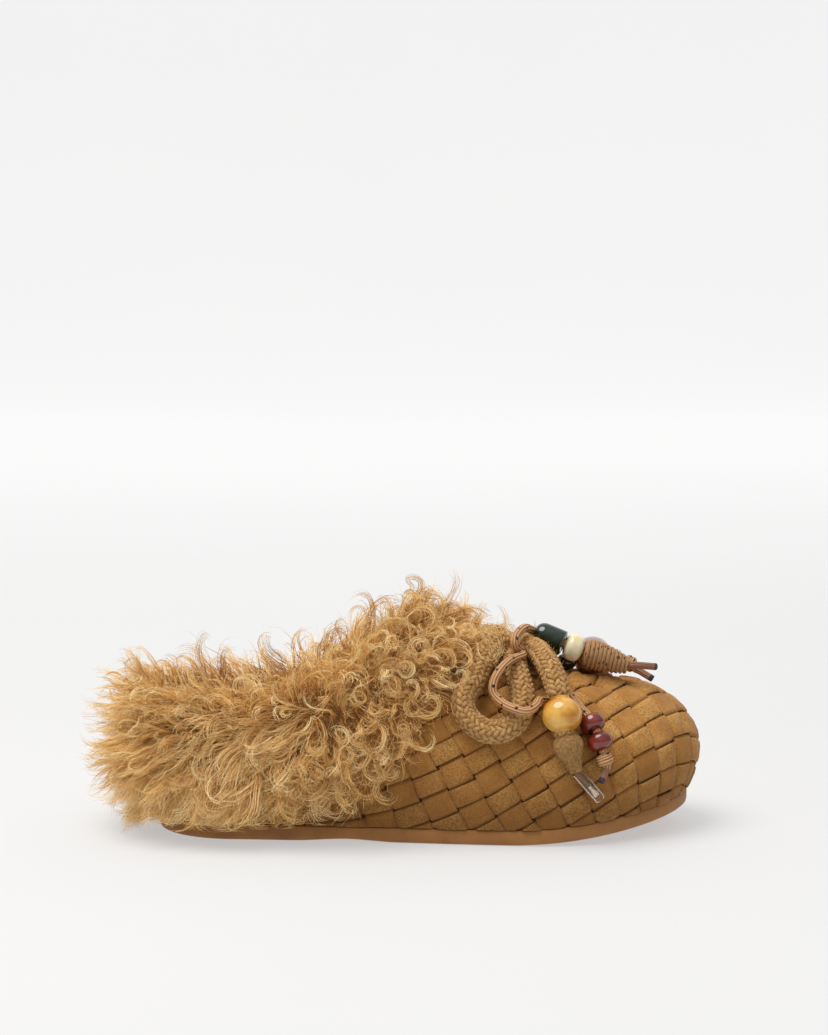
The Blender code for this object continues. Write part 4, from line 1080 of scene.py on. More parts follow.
def build_rope_end(strand, where, finish, beads):
    """The rope's end, narrowed inside its bead and closed by the felted ball and the end tube.

    Gives the lines and radii that fuzz grows on, with the ball twice because its fuzz is denser.
    """
    made = thread(strand, AMBER_ROW, beads, f"_{where}", finish)
    bead, ball, tube = beads
    middle = strand.reach_of(AMBER_ROW)
    half = bead.length / 2
    ball_from = middle + half + PIECE_GAP
    tube_from = ball_from + ball.length + PIECE_GAP
    line = strand.stretch(0, ball_from + ball.length * ROPE_IN_BALL, BRAID_STEP)
    reach = reach_along(line)
    near = np.clip((half + NARROW_BEFORE - np.abs(reach - middle)) / NARROW_RUN, 0, 1)
    past = np.clip((reach - middle - half) / NARROW_PAST, 0, 1)
    radii = ROPE_DIAMETER / 2 * (1 - (1 - ROPE_IN_BEAD) * np.maximum(near, past))
    piece = add_rope(f"rope_end_{where}_dressed", line, radii, finish["rope"])
    declare_cord(line, ROPE_DIAMETER)
    settle(piece, "rope", f"rope_end_{where}")
    core_line = strand.stretch(tube_from - CORE_BEFORE, tube_from + tube.length * CORE_REACH, BRAID_STEP)
    core_radii = np.linspace(CORE_RADIUS, CORE_END, len(core_line))
    settle(add_cord(f"aglet_core_{where}", core_line, core_radii, finish["felt"]), "felt")
    ball_line = strand.stretch(ball_from, ball_from + ball.length, BRAID_STEP)
    share = np.linspace(0, 1, len(ball_line))
    ball_radii = np.interp(share, [turn.share for turn in BALL], [turn.radius for turn in BALL])
    return [(line, radii), (ball_line, ball_radii), (ball_line, ball_radii)]


def build_cord_end(strand, row, beads, suffix, finish, nodes):
    """A thin cord from the knot through its beads to its bare tail and dipped tip."""
    made = thread(strand, row, beads, suffix, finish)
    tail_length = beads[-1].length
    total = strand.reach_of(row) - beads[0].length / 2 + sum(b.length + PIECE_GAP for b in beads) - PIECE_GAP
    line = strand.stretch(0, total, CORD_POINT_STEP)
    reach = reach_along(line)
    tail = np.clip((reach - (total - tail_length)) / TAIL_RUN, 0, 1)
    radii = CORD_DIAMETER / 2 + (TAIL_DIAMETER - CORD_DIAMETER) / 2 * tail
    dipped = cord_finish("dipped_cord", reach[-1] - tail_length, reach[-1] - DIP)
    piece = add_cord(f"{nodes[0]}_dressed", line, radii, dipped)
    declare_cord(line, CORD_DIAMETER)
    settle(piece, "cord", *nodes)


def build_knot(knot, finish):
    """The rope drawn once round the middle of the bow; gives the line and radii that fuzz grows on."""
    spots = []
    for i in range(KNOT_STEPS + 1):
        angle = TAU * (KNOT_OPEN + (1 - 2 * KNOT_OPEN) * i / KNOT_STEPS)
        beside = KNOT_WIDTH * i / KNOT_STEPS - KNOT_WIDTH / 2
        spots.append(knot + Vector((KNOT_RADIUS * math.sin(angle), beside, -KNOT_RADIUS * math.cos(angle))))
    line = np.array(spots)
    radii = np.full(len(line), KNOT_ROPE)
    settle(add_rope("rope_knot_dressed", line, radii, finish["rope"]), "rope", "rope_knot")
    return line, radii


def build_bow():
    finish = make_finishes()
    rope_beads, cord_beads, first_beads, second_beads = bead_tables()
    knot = knot_middle()
    ropes = []
    for side in (LATERAL, MEDIAL):
        ropes += build_bow_side(side, knot, finish, rope_beads, cord_beads)
    build_cord_end(Strand(LATERAL, knot, FIRST_STRING), TUBE_ROW, first_beads, "", finish,
                   ("first_cord", "first_tail"))
    build_cord_end(Strand(MEDIAL, knot, SECOND_STRING), DARK_ROW, second_beads, "", finish,
                   ("second_cord", "second_tail"))
    ropes.append(build_knot(knot, finish))
    add_fuzz(ropes, finish["rope"])


# Sole and insole

SOLE_STATIONS, SOLE_END = 150, 0.003
SoleTurn = namedtuple("SoleTurn", "inset rise")
SOLE_TOP_TURNS = (SoleTurn(1.6 * MM, 0.0), SoleTurn(0.35 * MM, -0.2 * MM), SoleTurn(0.0, -1.0 * MM))
SOLE_LOW_TURNS = (SoleTurn(0.0, 2.1 * MM), SoleTurn(0.3 * MM, 0.9 * MM), SoleTurn(1.3 * MM, 0.2 * MM),
                  SoleTurn(EDGE_UNDERCUT, 0.0))
INSOLE_TURNS = (SoleTurn(3.2 * MM, 0.0), SoleTurn(1.0 * MM, -0.3 * MM), SoleTurn(0.2 * MM, -1.1 * MM),
                SoleTurn(0.0, -INSOLE_THICKNESS))


def arch(x):
    """The rise of the sole's bottom under the waist."""
    middle = (ARCH_FROM + ARCH_TO) / 2
    return ARCH_RISE * ease(ARCH_FROM, middle, x) * (1 - ease(middle, ARCH_TO, x))


def sole_bottom(x):
    return spring(x) + arch(x)


def insole_top(x):
    return sole_top(x) + GAP + INSOLE_THICKNESS


def edge_stack(side, share, inset, turns, height):
    """Points round the edge of a sole: each turn's way in from the outline, and its rise from a height."""
    stack = []
    for turn in turns:
        edge = outline(side, share, inset + turn.inset)
        stack.append((edge.x, edge.y, height(edge.x) + turn.rise))
    return stack


def outsole_side(side, share):
    top = edge_stack(side, share, 0, SOLE_TOP_TURNS, sole_top)
    return top + edge_stack(side, share, 0, SOLE_LOW_TURNS, sole_bottom)


def insole_side(side, share):
    return edge_stack(side, share, INSOLE_INSET, INSOLE_TURNS, insole_top)


def add_sheet(name, side_at, material):
    """A sole-shaped solid from the profile of its edge."""
    rings = []
    for i in range(SOLE_STATIONS + 1):
        share = SOLE_END + (1 - 2 * SOLE_END) * i / SOLE_STATIONS
        rings.append([*side_at(LATERAL, share), *reversed(side_at(MEDIAL, share))])
    count = len(rings[0])
    faces = ring_faces(len(rings), count)
    last = (len(rings) - 1) * count
    heel = [(i, i + 1, count - 2 - i, count - 1 - i) for i in range(count // 2 - 1)]
    toe = [tuple(last + corner for corner in reversed(face)) for face in heel]
    return add_mesh(name, np.array(rings).reshape(-1, 3), np.concatenate([faces, heel, toe]), material)


def build_sole():
    settle(add_sheet("outsole_dressed", outsole_side, rubber_finish()), "rubber", "outsole")
    settle(add_sheet("insole_dressed", insole_side, fleece_finish()), "fleece", "insole")


# Woven upper: the weave is drawn on the last's face laid flat, and carried back to the last

STRIP_THICK, STRIP_CROWN, STRIP_BEVEL = 1.3 * MM, 0.2 * MM, 0.4 * MM
CROWN_SHARE, STRIP_STEPS, STRIP_SEED = 0.5, 16, 8
STRIP_SWAY, STRIP_TILT, OVER_SPREAD = 0.3 * MM, 0.02, (0.85, 1.15)
# the under tone darkens a strip where it dives under a crossing strip: painted shade
CELL_TONE, UNDER_SHADE_TONE, EDGE_TONE, WALL_TONE = 0.06, 0.18, 0.3, 0.05
STRIP_BEHIND, OFF_PATTERN = 14 * MM, 0.01 * MM
# WALL_SHADE and WALL_TONE darken the wall under the strips: painted shade where it shows in the gaps of the
# weave
WALL_SINK, WALL_SHADE = 0.5 * MM, 0.6

# The two families of strips
Family = namedtuple("Family", "turn width pitch cross_pitch parity over under slope tone")
FAMILIES = (
    Family(STRIP_ANGLE, 9.2 * MM, STRIP_ALONG, STRIP_CROSS, 1, 1.8 * MM, -0.4 * MM, 1.3 * MM, 0.46),
    Family(STRIP_ANGLE + math.pi / 2, 11.4 * MM, STRIP_CROSS, STRIP_ALONG, 0, 1.2 * MM, -0.3 * MM, 0.7 * MM,
           0.26),
)

# Folds, listed one by one
CREASE_STEP, CREASE_FADE, CREASE_END = 1 * MM, 0.25, 0.15
Crease = namedtuple("Crease", "side x girth to_x to_girth rise width")
CREASES = (
    Crease(LATERAL, 62 * MM, 0.93, 98 * MM, 0.88, 2.6 * MM, 3.0 * MM),
    Crease(LATERAL, 60 * MM, 0.85, 96 * MM, 0.81, -1.4 * MM, 3.2 * MM),
    Crease(LATERAL, 122 * MM, 0.52, 126 * MM, 0.16, -2.0 * MM, 1.8 * MM),
    Crease(LATERAL, 117 * MM, 0.34, 121 * MM, 0.12, -1.5 * MM, 2.0 * MM),
    Crease(LATERAL, 115 * MM, 0.62, 121 * MM, 0.3, -0.7 * MM, 3 * MM),
    Crease(MEDIAL, 62 * MM, 0.9, 92 * MM, 0.85, 1.6 * MM, 3.6 * MM),
    Crease(MEDIAL, 118 * MM, 0.55, 124 * MM, 0.2, -1.1 * MM, 2.6 * MM),
)


def upper_columns():
    """Stations from the heel along the lateral side to the toe, and back along the medial side."""
    there = [(LATERAL, i / PATTERN_STATIONS) for i in range(PATTERN_STATIONS + 1)]
    return there + [(MEDIAL, 1 - i / PATTERN_STATIONS) for i in range(1, PATTERN_STATIONS + 1)]


def last_grid():
    """The upper's face as a fine grid, opened along the back of the heel and joined along the top line."""
    bm = bmesh.new()
    place = bm.verts.layers.float_vector.new("place")
    grid = []
    for side, share in upper_columns():
        top = rim_girth(share)
        column = []
        for k in range(PATTERN_ROWS + 1):
            girth = top * k / PATTERN_ROWS
            vert = bm.verts.new(upper_point(side, share, girth))
            vert[place] = (side, share, girth)
            column.append(vert)
        grid.append(column)
    for left, right in zip(grid, grid[1:]):
        for k in range(PATTERN_ROWS):
            bm.faces.new((left[k], right[k], right[k + 1], left[k + 1]))
    pairs = {}
    for k in range(PATTERN_STATIONS):
        if rim_girth(k / PATTERN_STATIONS) == 1.0:
            pairs[grid[2 * PATTERN_STATIONS - k][-1]] = grid[k][-1]
    bmesh.ops.weld_verts(bm, targetmap=pairs)
    return bm


def flat_pattern():
    """Flatten the grid with least stretch: the mesh, and where each of its vertices lies in the plane."""
    bm = last_grid()
    mesh = bpy.data.meshes.new("pattern")
    bm.to_mesh(mesh)
    bm.free()
    guide = add_object("pattern", mesh)
    mesh.uv_layers.new(name="flat")
    bpy.context.view_layer.objects.active = guide
    guide.select_set(True)
    bpy.ops.object.mode_set(mode="EDIT")
    bpy.ops.mesh.select_all(action="SELECT")
    bpy.ops.uv.unwrap(method="MINIMUM_STRETCH", margin=0)
    bpy.ops.object.mode_set(mode="OBJECT")
    flat = [Vector((0, 0, 0)) for _ in mesh.vertices]
    for loop, uv in zip(mesh.loops, mesh.uv_layers["flat"].data):
        flat[loop.vertex_index] = Vector((uv.uv.x, uv.uv.y, 0))
    bpy.data.objects.remove(guide)
    return mesh, align_pattern(mesh, flat)


def align_pattern(mesh, flat):
    """Bring the pattern to real size, with the toe to +X and its top line on the X axis."""
    solid = [vert.co for vert in mesh.vertices]
    shrink = sum((solid[a] - solid[b]).length for a, b in (edge.vertices for edge in mesh.edges))
    shrink /= sum((flat[a] - flat[b]).length for a, b in (edge.vertices for edge in mesh.edges))
    place = mesh.attributes["place"].data
    top_line = [i for i in range(len(solid)) if place[i].vector[2] == 1.0]
    top_line.sort(key=lambda i: solid[i].x)
    origin = flat[top_line[0]]
    run = flat[top_line[-1]] - origin
    turn = Matrix.Rotation(-math.atan2(run.y, run.x), 4, "Z") @ Matrix.Translation(-origin)
    aligned = [(turn @ point) * shrink for point in flat]
    if aligned[0].y > 0:
        aligned = [Vector((point.x, -point.y, 0)) for point in aligned]
    return aligned


class Last:
    """Carries points of the flat pattern back to the last."""

    def __init__(self, mesh, flat):
        mesh.calc_loop_triangles()
        self.spots = [vert.co.copy() for vert in mesh.vertices]
        self.normals = [vert.normal.copy() for vert in mesh.vertices]
        self.girths = [row.vector[2] for row in mesh.attributes["place"].data]
        self.flat = flat
        self.triangles = [tuple(triangle.vertices) for triangle in mesh.loop_triangles]
        self.tree = BVHTree.FromPolygons(flat, self.triangles)

    def place(self, x, y):
        """The outer face's point, normal and girth for a point, and how far off the pattern that point is."""
        found, _, index, off = self.tree.find_nearest(Vector((x, y, 0)))
        i, j, k = self.triangles[index]
        a, b, c = self.flat[i], self.flat[j], self.flat[k]
        whole = (b - a).cross(c - a).z
        first = (b - found).cross(c - found).z / whole
        second = (c - found).cross(a - found).z / whole
        third = 1 - first - second
        spot = self.spots[i] * first + self.spots[j] * second + self.spots[k] * third
        normal = self.normals[i] * first + self.normals[j] * second + self.normals[k] * third
        girth = self.girths[i] * first + self.girths[j] * second + self.girths[k] * third
        return spot, normal.normalized(), girth, off


def crease_line(crease):
    """The line of a fold on the upper's face, through its two ends and its middle."""
    middle = (crease.x + crease.to_x) / 2, (crease.girth + crease.to_girth) / 2
    places = (crease.x, crease.girth), middle, (crease.to_x, crease.to_girth)
    spots = [on_upper(crease.side, Route(x, girth, 0)) for x, girth in places]
    return np.array(smooth_curve(spots, CREASE_STEP))


def crease_rise(points):
    """How far the listed folds lift or sink each point."""
    rise = np.zeros(len(points))
    for crease in CREASES:
        line = crease_line(crease)
        away = np.linalg.norm(points[:, None] - line[None], axis=2)
        nearest = away.argmin(axis=1) / (len(line) - 1)
        fade = np.clip(np.minimum(nearest, 1 - nearest) / CREASE_FADE, CREASE_END, 1)
        rise += crease.rise * fade * np.exp(-(away.min(axis=1) / crease.width) ** 2)
    return rise


def strip_profile(width):
    """Across a strip: the places from its middle and the heights from its top."""
    half, crown, edge = width / 2, width / 2 * CROWN_SHARE, width / 2 - STRIP_BEVEL
    return np.array([
        (-half, -STRIP_THICK), (-half, -STRIP_BEVEL), (-edge, 0), (-crown, STRIP_CROWN),
        (crown, STRIP_CROWN), (edge, 0), (half, -STRIP_BEVEL), (half, -STRIP_THICK),
    ])


def strip_rows(family, index, first, last_cell, dice):
    """Along one strip of the weave: the way, the height, the sway to its side, the tilt and the tone."""
    steps = (last_cell - first) * STRIP_STEPS
    way = first + np.arange(steps + 1) / STRIP_STEPS
    cell = np.floor(way).astype(int)
    over = (cell + index) % 2 == family.parity
    edge = np.minimum(way - cell, cell + 1 - way) * family.cross_pitch
    slope = np.clip(edge / family.slope, 0, 1)
    slope = 0.5 + 0.5 * slope * slope * (3 - 2 * slope)
    share = np.where(over, slope, 1 - slope)
    cells = cell - first
    high = family.over * dice.uniform(*OVER_SPREAD, cells.max() + 1)[cells]
    heights = family.under + (high - family.under) * share
    marks = np.arange(first, last_cell + 1)
    sway = np.interp(way, marks, dice.normal(0, STRIP_SWAY, len(marks)))
    tilt = np.interp(way, marks, dice.normal(0, STRIP_TILT, len(marks)))
    # painted shade: the tone drops where the strip sinks under its neighbour
    tone = family.tone + dice.normal(0, CELL_TONE, cells.max() + 1)[cells] - UNDER_SHADE_TONE * (1 - share)
    return way * family.cross_pitch, heights, sway, tilt, tone


def build_strips(last, material):
    dice = np.random.default_rng(STRIP_SEED)
    flat = np.array(last.flat)[:, :2]
    parts = []
    for family in FAMILIES:
        run = np.array((math.cos(family.turn), math.sin(family.turn)))
        across = np.array((-run[1], run[0])) * (1 if family.parity else -1)
        reach, wide = flat @ run, flat @ across
        cells = math.floor(reach.min() / family.cross_pitch), math.ceil(reach.max() / family.cross_pitch)
        for index in range(math.floor(wide.min() / family.pitch), math.ceil(wide.max() / family.pitch)):
            rows = strip_rows(family, index, *cells, dice)
            parts.append(strip_arrays(last, family, index, rows, run, across))
    verts, faces, tone = join_arrays([part for part in parts if len(part[1])])
    return settle(add_mesh("upper_strips", verts, faces, material, {"tone": tone}), "suede", "upper")


def strip_arrays(last, family, index, rows, run, across):
    """The mesh of one strip, laid on the last and cut at the pattern's edge and under the fur."""
    way, heights, sway, tilt, tone = rows
    profile = strip_profile(family.width)
    beside = (index + 0.5) * family.pitch + sway[:, None, None] + profile[None, :, :1]
    places = (way[:, None, None] * run + beside * across).reshape(-1, 2)
    lift = (heights[:, None] + profile[None, :, 1] + tilt[:, None] * profile[None, :, 0]).ravel()
    laid = [last.place(x, y) for x, y in places]
    spots = np.array([row[0] for row in laid])
    normals = np.array([row[1] for row in laid])
    behind = np.array([row[0].x < read(FUR_EDGE, "x", row[2]) - STRIP_BEHIND for row in laid])
    outside = np.array([row[3] > OFF_PATTERN for row in laid])
    verts = spots + normals * (lift + crease_rise(spots))[:, None]
    faces = ring_faces(len(way), len(profile), closed=False)
    faces = faces[~(outside | behind)[faces].all(axis=1)]
    used, faces = np.unique(faces, return_inverse=True)
    tones = tone[:, None] + np.where(np.abs(profile[:, 0]) > family.width / 2 - STRIP_BEVEL / 2, EDGE_TONE, 0)
    return verts[used], faces.reshape(-1, 4), tones.ravel()[used]


def build_wall(suede, fleece):
    """The wall under the strips, with its fleece lining."""
    columns = upper_columns()
    spots, normals = [], []
    for side, share in columns:
        for k in range(PATTERN_ROWS + 1):
            girth = rim_girth(share) * k / PATTERN_ROWS
            spots.append(upper_point(side, share, girth))
            normals.append(normal_at(side, share, girth))
    spots, normals = np.array(spots), np.array(normals)
    rows = PATTERN_ROWS + 1
    outer = spots + normals * (np.minimum(0, crease_rise(spots)) - WALL_SINK)[:, None]
    inner = spots - normals * WALL
    skin = ring_faces(len(columns), rows, closed=False)
    shift = len(spots)
    edges = []
    for row in (0, rows - 1):
        line = np.arange(len(columns)) * rows + row
        edges.append(np.stack([line[:-1], line[1:], line[1:] + shift, line[:-1] + shift], axis=-1))
    faces = np.concatenate([skin, np.flip(skin, axis=1) + shift, *edges])
    tone = np.full(2 * shift, WALL_TONE)
    wall = add_mesh("upper_wall", np.concatenate([outer, inner]), faces, suede, {"tone": tone})
    wall.data.materials.append(fleece)
    inside = np.zeros(len(faces), np.int32)
    inside[len(skin):2 * len(skin)] = 1
    wall.data.polygons.foreach_set("material_index", inside)
    return settle(wall, "suede")


def build_upper():
    # the wall's suede is a darker copy, painted shade for the gaps between strips
    build_wall(suede_finish("suede_back_painted_shade", WALL_SHADE), fleece_finish())
    return build_strips(Last(*flat_pattern()), suede_finish())


# Fur: an undercoat, and hair combed from it

HAIR_SEED, QUICK_PART = 21, 4

# Undercoat
LUMP, LUMP_SIZE = 1.6 * MM, 9 * MM
CLEAR_FROM, RIM_FROM = 0.5, 0.8
TURNED_IN = ((4 * MM, -1 * MM), (7 * MM, 3 * MM), (7.5 * MM, 12 * MM), (6.5 * MM, 20 * MM))
TURNED_RISE, COLLAR_ROOM = 0.6, 16 * MM
HEEL_TURN_FROM, HEEL_TURN_RUN, HEEL_TURN = -70 * MM, 40 * MM, 1.6

# Roots of the locks, and the guides that grow from them
ROOT_OFFSET, ROOT_STAGGER, ROOT_JITTER, ROOT_JITTER_UP, ROOT_LAST = 0.25, 0.5, 0.3, 0.35, 0.995
ROOT_SINK, GUIDE_STEPS = 2 * MM, 30
AXIS_LEVEL, AXIS_OUT, AXIS_STRAY = (1, 1, 0.3), 0.15, 0.3
LENGTH_SPREAD, TURN_SPREAD, WAY_STRAY = (0.7, 1.2), (0.6, 1.35), 0.28
CURL_EVEN = 0.55
WAVE_SIZE, WAVE_TURNS, SWING_SIZE, SWING_TURNS = 0.5, 2.2, 0.9, 1.5
ROOT_CLEAR, TIP_CLEAR, CLEAR_RATE = 0.5 * MM, 3 * MM, 3
PUSH_WITHIN, PUSH_STEP = 8 * MM, 2 * MM

# Hairs along a guide, and how high and low they reach
HAIR_REACH, REACH_POWER, GATHER_POWER = (0.6, 1.0), 0.7, 0.7
HAIR_STRAY, FACE_STRAY = 0.5, 0.45
FRIZZ, FRIZZ_WAVES = 0.5 * MM, (6, 16)
LOCK_TONE, HAIR_TONE = 0.14, 0.14
LOOSE_TIP = 2.2
HAIR_HIGH, HIGH_PRESS = 116 * MM, 0.3
HAIR_LOW, HEEL_LOW, HEEL_HAIR_FROM, HEEL_HAIR_TO = 11.8 * MM, 2.5 * MM, -140 * MM, -131 * MM
LOW_SLACK = 1.5 * MM

# Shorter hair inside the collar
INSIDE_DEEP, INSIDE_RIM, INSIDE_SHORT = 0.3, 0.35, 0.12

# Kinds of hair
Coat = namedtuple("Coat", "name pieces spacing hairs joints width root tip reach curl tone from_height")
COATS = (
    Coat("fur_locks", 4, 5.2 * MM, 13, 13, 0.34 * MM, 3.0 * MM, 0.75 * MM, 1.0, 1.0, 0.56, 0.0),
    Coat("fur_down", 1, 2.8 * MM, 3, 6, 0.34 * MM, 2.6 * MM, 2.4 * MM, 0.6, 0.4, 0.5, 0.0),
    # the wisps on the top of the cuff take a higher tone, 0.7: painted light for the bright top ridge
    Coat("fur_wisps", 1, 7.5 * MM, 9, 13, 0.32 * MM, 1.6 * MM, 0.3 * MM, 1.02, 1.5, 0.7, 0.6),
)

# How hair lies, by place along the shoe and share of the cuff's height
STYLE_X, STYLE_HEIGHT, STYLE_BLEND = 28 * MM, 0.28, 0.15
Style = namedtuple("Style", "x height ahead rise out length turns start wave droop loose")
STYLES = (
    Style(-128 * MM, 0.05, 0.0, -0.9, 0.8, 27 * MM, 0.25, 0.5, 0.8, 0.3, 0.4),
    Style(-128 * MM, 0.50, 0.0, -0.2, 1.0, 32 * MM, 0.5, 0.6, 0.6, 0.5, 0.3),
    Style(-128 * MM, 1.00, 0.0, 0.5, 0.9, 28 * MM, 0.6, 0.5, 0.5, 0.4, 0.3),
    Style(-90 * MM, 0.05, 0.0, -1.0, 0.25, 18 * MM, 0.1, 0.5, 0.9, 0.2, 1.0),
    Style(-90 * MM, 0.50, 0.15, -1.0, 0.3, 40 * MM, 0.3, 0.5, 0.8, 0.5, 1.0),
    Style(-68 * MM, 0.75, -0.5, -0.4, 0.4, 38 * MM, 0.4, 0.5, 0.6, 0.6, 0.8),
    Style(-90 * MM, 1.00, -0.7, 0.6, 0.4, 27 * MM, 0.3, 0.5, 0.5, 0.4, 0.9),
    Style(-48 * MM, 0.05, 0.0, -1.0, 0.3, 18 * MM, 0.3, 0.4, 0.8, 0.2, 0.9),
    Style(-45 * MM, 0.50, 0.3, -0.4, 0.6, 36 * MM, 1.0, 0.25, 0.4, 0.3, 0.3),
    Style(-45 * MM, 1.00, -0.4, 0.9, 0.4, 30 * MM, 0.5, 0.4, 0.4, 0.3, 0.8),
    Style(-10 * MM, 0.30, 0.3, -0.7, 0.5, 26 * MM, 1.0, 0.25, 0.4, 0.2, 0.3),
    Style(-5 * MM, 0.60, 0.3, 0.0, 0.7, 34 * MM, 1.1, 0.2, 0.3, 0.2, 0.2),
    Style(-8 * MM, 1.00, 0.1, 0.9, 0.5, 29 * MM, 0.8, 0.3, 0.3, 0.3, 0.5),
    Style(25 * MM, 1.00, 0.8, 0.4, 0.5, 30 * MM, 0.8, 0.3, 0.5, 0.3, 0.4),
)

Patch = namedtuple("Patch", "grid flip inside")
Guides = namedtuple("Guides", "lines axes loose spread shade")


def fur_rows(side):
    """The undercoat on one side: points off the upper's face, and where the top line is closed."""
    spots = np.zeros((FUR_COLUMNS + 1, FUR_ROWS + 1, 3))
    base = np.zeros_like(spots)
    closed = np.zeros(FUR_COLUMNS + 1, bool)
    heights = [row / FUR_ROWS for row in range(FUR_ROWS + 1)]
    fronts = [share_of(side, read(FUR_EDGE, "x", height), height) for height in heights]
    for column in range(FUR_COLUMNS + 1):
        for row, height in enumerate(heights):
            share = fronts[row] * column / FUR_COLUMNS
            girth = FUR_LOW_GIRTH + (rim_girth(share) - FUR_LOW_GIRTH) * height
            normal = normal_at(side, share, girth)
            spot = upper_point(side, share, girth)
            shut = row == FUR_ROWS and rim_girth(share) == 1.0
            if column == 0 or shut:
                normal.y = 0
            normal.normalize()
            near_throat = 1 - ease(0, FUR_THROAT_REACH, abs(spot.x - THROAT))
            clear = FUR_CLEAR + (FUR_CLEAR_THROAT - FUR_CLEAR) * near_throat * ease(CLEAR_FROM, 1, height)
            front_slope = FUR_FRONT_SLOPE * (1 - column / FUR_COLUMNS)
            edge = min(1, front_slope, FUR_LOW_SHARE + FUR_LOW_SLOPE * height)
            depth = FUR_DEPTH_EDGE + (FUR_DEPTH - FUR_DEPTH_EDGE) * edge
            lump = 0 if shut or column == 0 else LUMP * noise.noise(spot / LUMP_SIZE)
            spots[column, row] = spot + normal * (clear + depth + lump)
            if rim_girth(share) < 1:
                spots[column, row, 2] += FUR_RIM_RISE * ease(RIM_FROM, 1, height)
            base[column, row] = spot + normal * clear
        closed[column] = shut
    return spots, base, closed


def turned_rows(side, spots, base, closed):
    """The undercoat's edge, turned in over the collar."""
    rim, under = spots[~closed, -1], base[~closed, -1]
    inward = np.column_stack([np.zeros(len(rim)), np.full(len(rim), -side), np.zeros(len(rim))])
    inward[:, 0] = np.clip((HEEL_TURN_FROM - under[:, 0]) / HEEL_TURN_RUN, 0, 1) * HEEL_TURN
    inward = unit(inward)
    room = np.minimum(1, np.abs(under[:, 1]) / COLLAR_ROOM + inward[:, 0])[:, None]
    rows = [rim]
    for depth, drop in TURNED_IN:
        rows.append(under + inward * depth * room + (0, 0, FUR_RIM_RISE * TURNED_RISE - drop))
    return np.stack(rows, axis=1)


def fur_patches():
    """The undercoat's faces as grids, outside and turned in, and the whole as one mesh."""
    patches, parts = [], []
    for side in (LATERAL, MEDIAL):
        spots, base, closed = fur_rows(side)
        turned = turned_rows(side, spots, base, closed)
        patches += [Patch(spots, side, False), Patch(turned, side, True)]
        fronts = np.concatenate([spots, base[-1:]])
        skin = np.concatenate([np.concatenate([base, base[-1:]])[:, :1], fronts], axis=1)
        for grid in (skin, turned):
            faces = ring_faces(grid.shape[0], grid.shape[1], closed=False)
            faces = faces if side == MEDIAL else np.flip(faces, axis=1)
            parts.append((grid.reshape(-1, 3), faces, np.zeros(grid.shape[0] * grid.shape[1])))
    verts, faces, _ = join_arrays(parts)
    return patches, verts, faces


class Roots:
    """Places on the undercoat where hair grows, with the directions there."""

    def __init__(self, patches, picks):
        spots, along, up, out, heights, lengths = [], [], [], [], [], []
        for number, u, v in picks:
            grid, flip, inside = patches[number]
            a, b = u * (grid.shape[0] - 1), v * (grid.shape[1] - 1)
            i, j = min(int(a), grid.shape[0] - 2), min(int(b), grid.shape[1] - 2)
            a, b = a - i, b - j
            p00, p10, p01, p11 = grid[i, j], grid[i + 1, j], grid[i, j + 1], grid[i + 1, j + 1]
            spots.append((p00 * (1 - a) + p10 * a) * (1 - b) + (p01 * (1 - a) + p11 * a) * b)
            ahead = (p10 - p00) * (1 - b) + (p11 - p01) * b
            rise = (p01 - p00) * (1 - a) + (p11 - p10) * a
            along.append(ahead)
            up.append(-rise if inside else rise)
            out.append(np.cross(rise, ahead) * flip)
            heights.append(1.0 if inside else v)
            lengths.append(np.interp(v, (0, INSIDE_DEEP), (INSIDE_RIM, INSIDE_SHORT)) if inside else 1.0)
        self.spots, self.along, self.up = np.array(spots), unit(np.array(along)), unit(np.array(up))
        self.out = unit(np.array(out))
        self.heights = np.array(heights)
        self.lengths = np.array(lengths)

    def style(self, column):
        """A column of the style table at each root, blended by nearness."""
        rows = np.array([(row.x / STYLE_X, row.height / STYLE_HEIGHT) for row in STYLES])
        here = np.column_stack([self.spots[:, 0] / STYLE_X, self.heights / STYLE_HEIGHT])
        away = ((here[:, None] - rows[None]) ** 2).sum(axis=2)
        weight = 1 / (away + STYLE_BLEND) ** 2
        return weight @ np.array([getattr(row, column) for row in STYLES]) / weight.sum(axis=1)


def pick_roots(patches, coat, dice):
    """An even scatter over the undercoat."""
    picks = []
    for number, (grid, _, inside) in enumerate(patches):
        tall = np.linalg.norm(np.diff(grid, axis=1), axis=2).sum(axis=1).mean()
        rows = max(1, round(tall / coat.spacing))
        for row in range(rows + 1):
            v = row / rows
            line = grid[:, round(v * (grid.shape[1] - 1))]
            count = max(2, round(length_of(line) / coat.spacing))
            deep = inside and v > INSIDE_DEEP and coat.name != "fur_down"
            for k in range(count):
                jitter = dice.uniform(-ROOT_JITTER, ROOT_JITTER)
                u = (k + ROOT_OFFSET + ROOT_STAGGER * (row % 2) + jitter) / count
                height = v + dice.uniform(-ROOT_JITTER_UP, ROOT_JITTER_UP) / rows
                if not deep and (inside or height >= coat.from_height):
                    picks.append((number, min(ROOT_LAST, max(0.0, u)), min(1.0, max(0.0, height))))
    return picks


def turn_about(vectors, axes, angles):
    """Each vector turned about its own axis."""
    cos, sin = np.cos(angles)[:, None], np.sin(angles)[:, None]
    along = (vectors * axes).sum(axis=1, keepdims=True)
    return vectors * cos + np.cross(axes, vectors) * sin + axes * along * (1 - cos)


def curl_axes(roots, dice):
    """The axis that each lock curls about: level, and out from the shoe."""
    axes = roots.out * AXIS_LEVEL
    axes[:, 1] += np.sign(roots.spots[:, 1]) * AXIS_OUT
    return unit(axes + dice.normal(0, AXIS_STRAY, axes.shape))


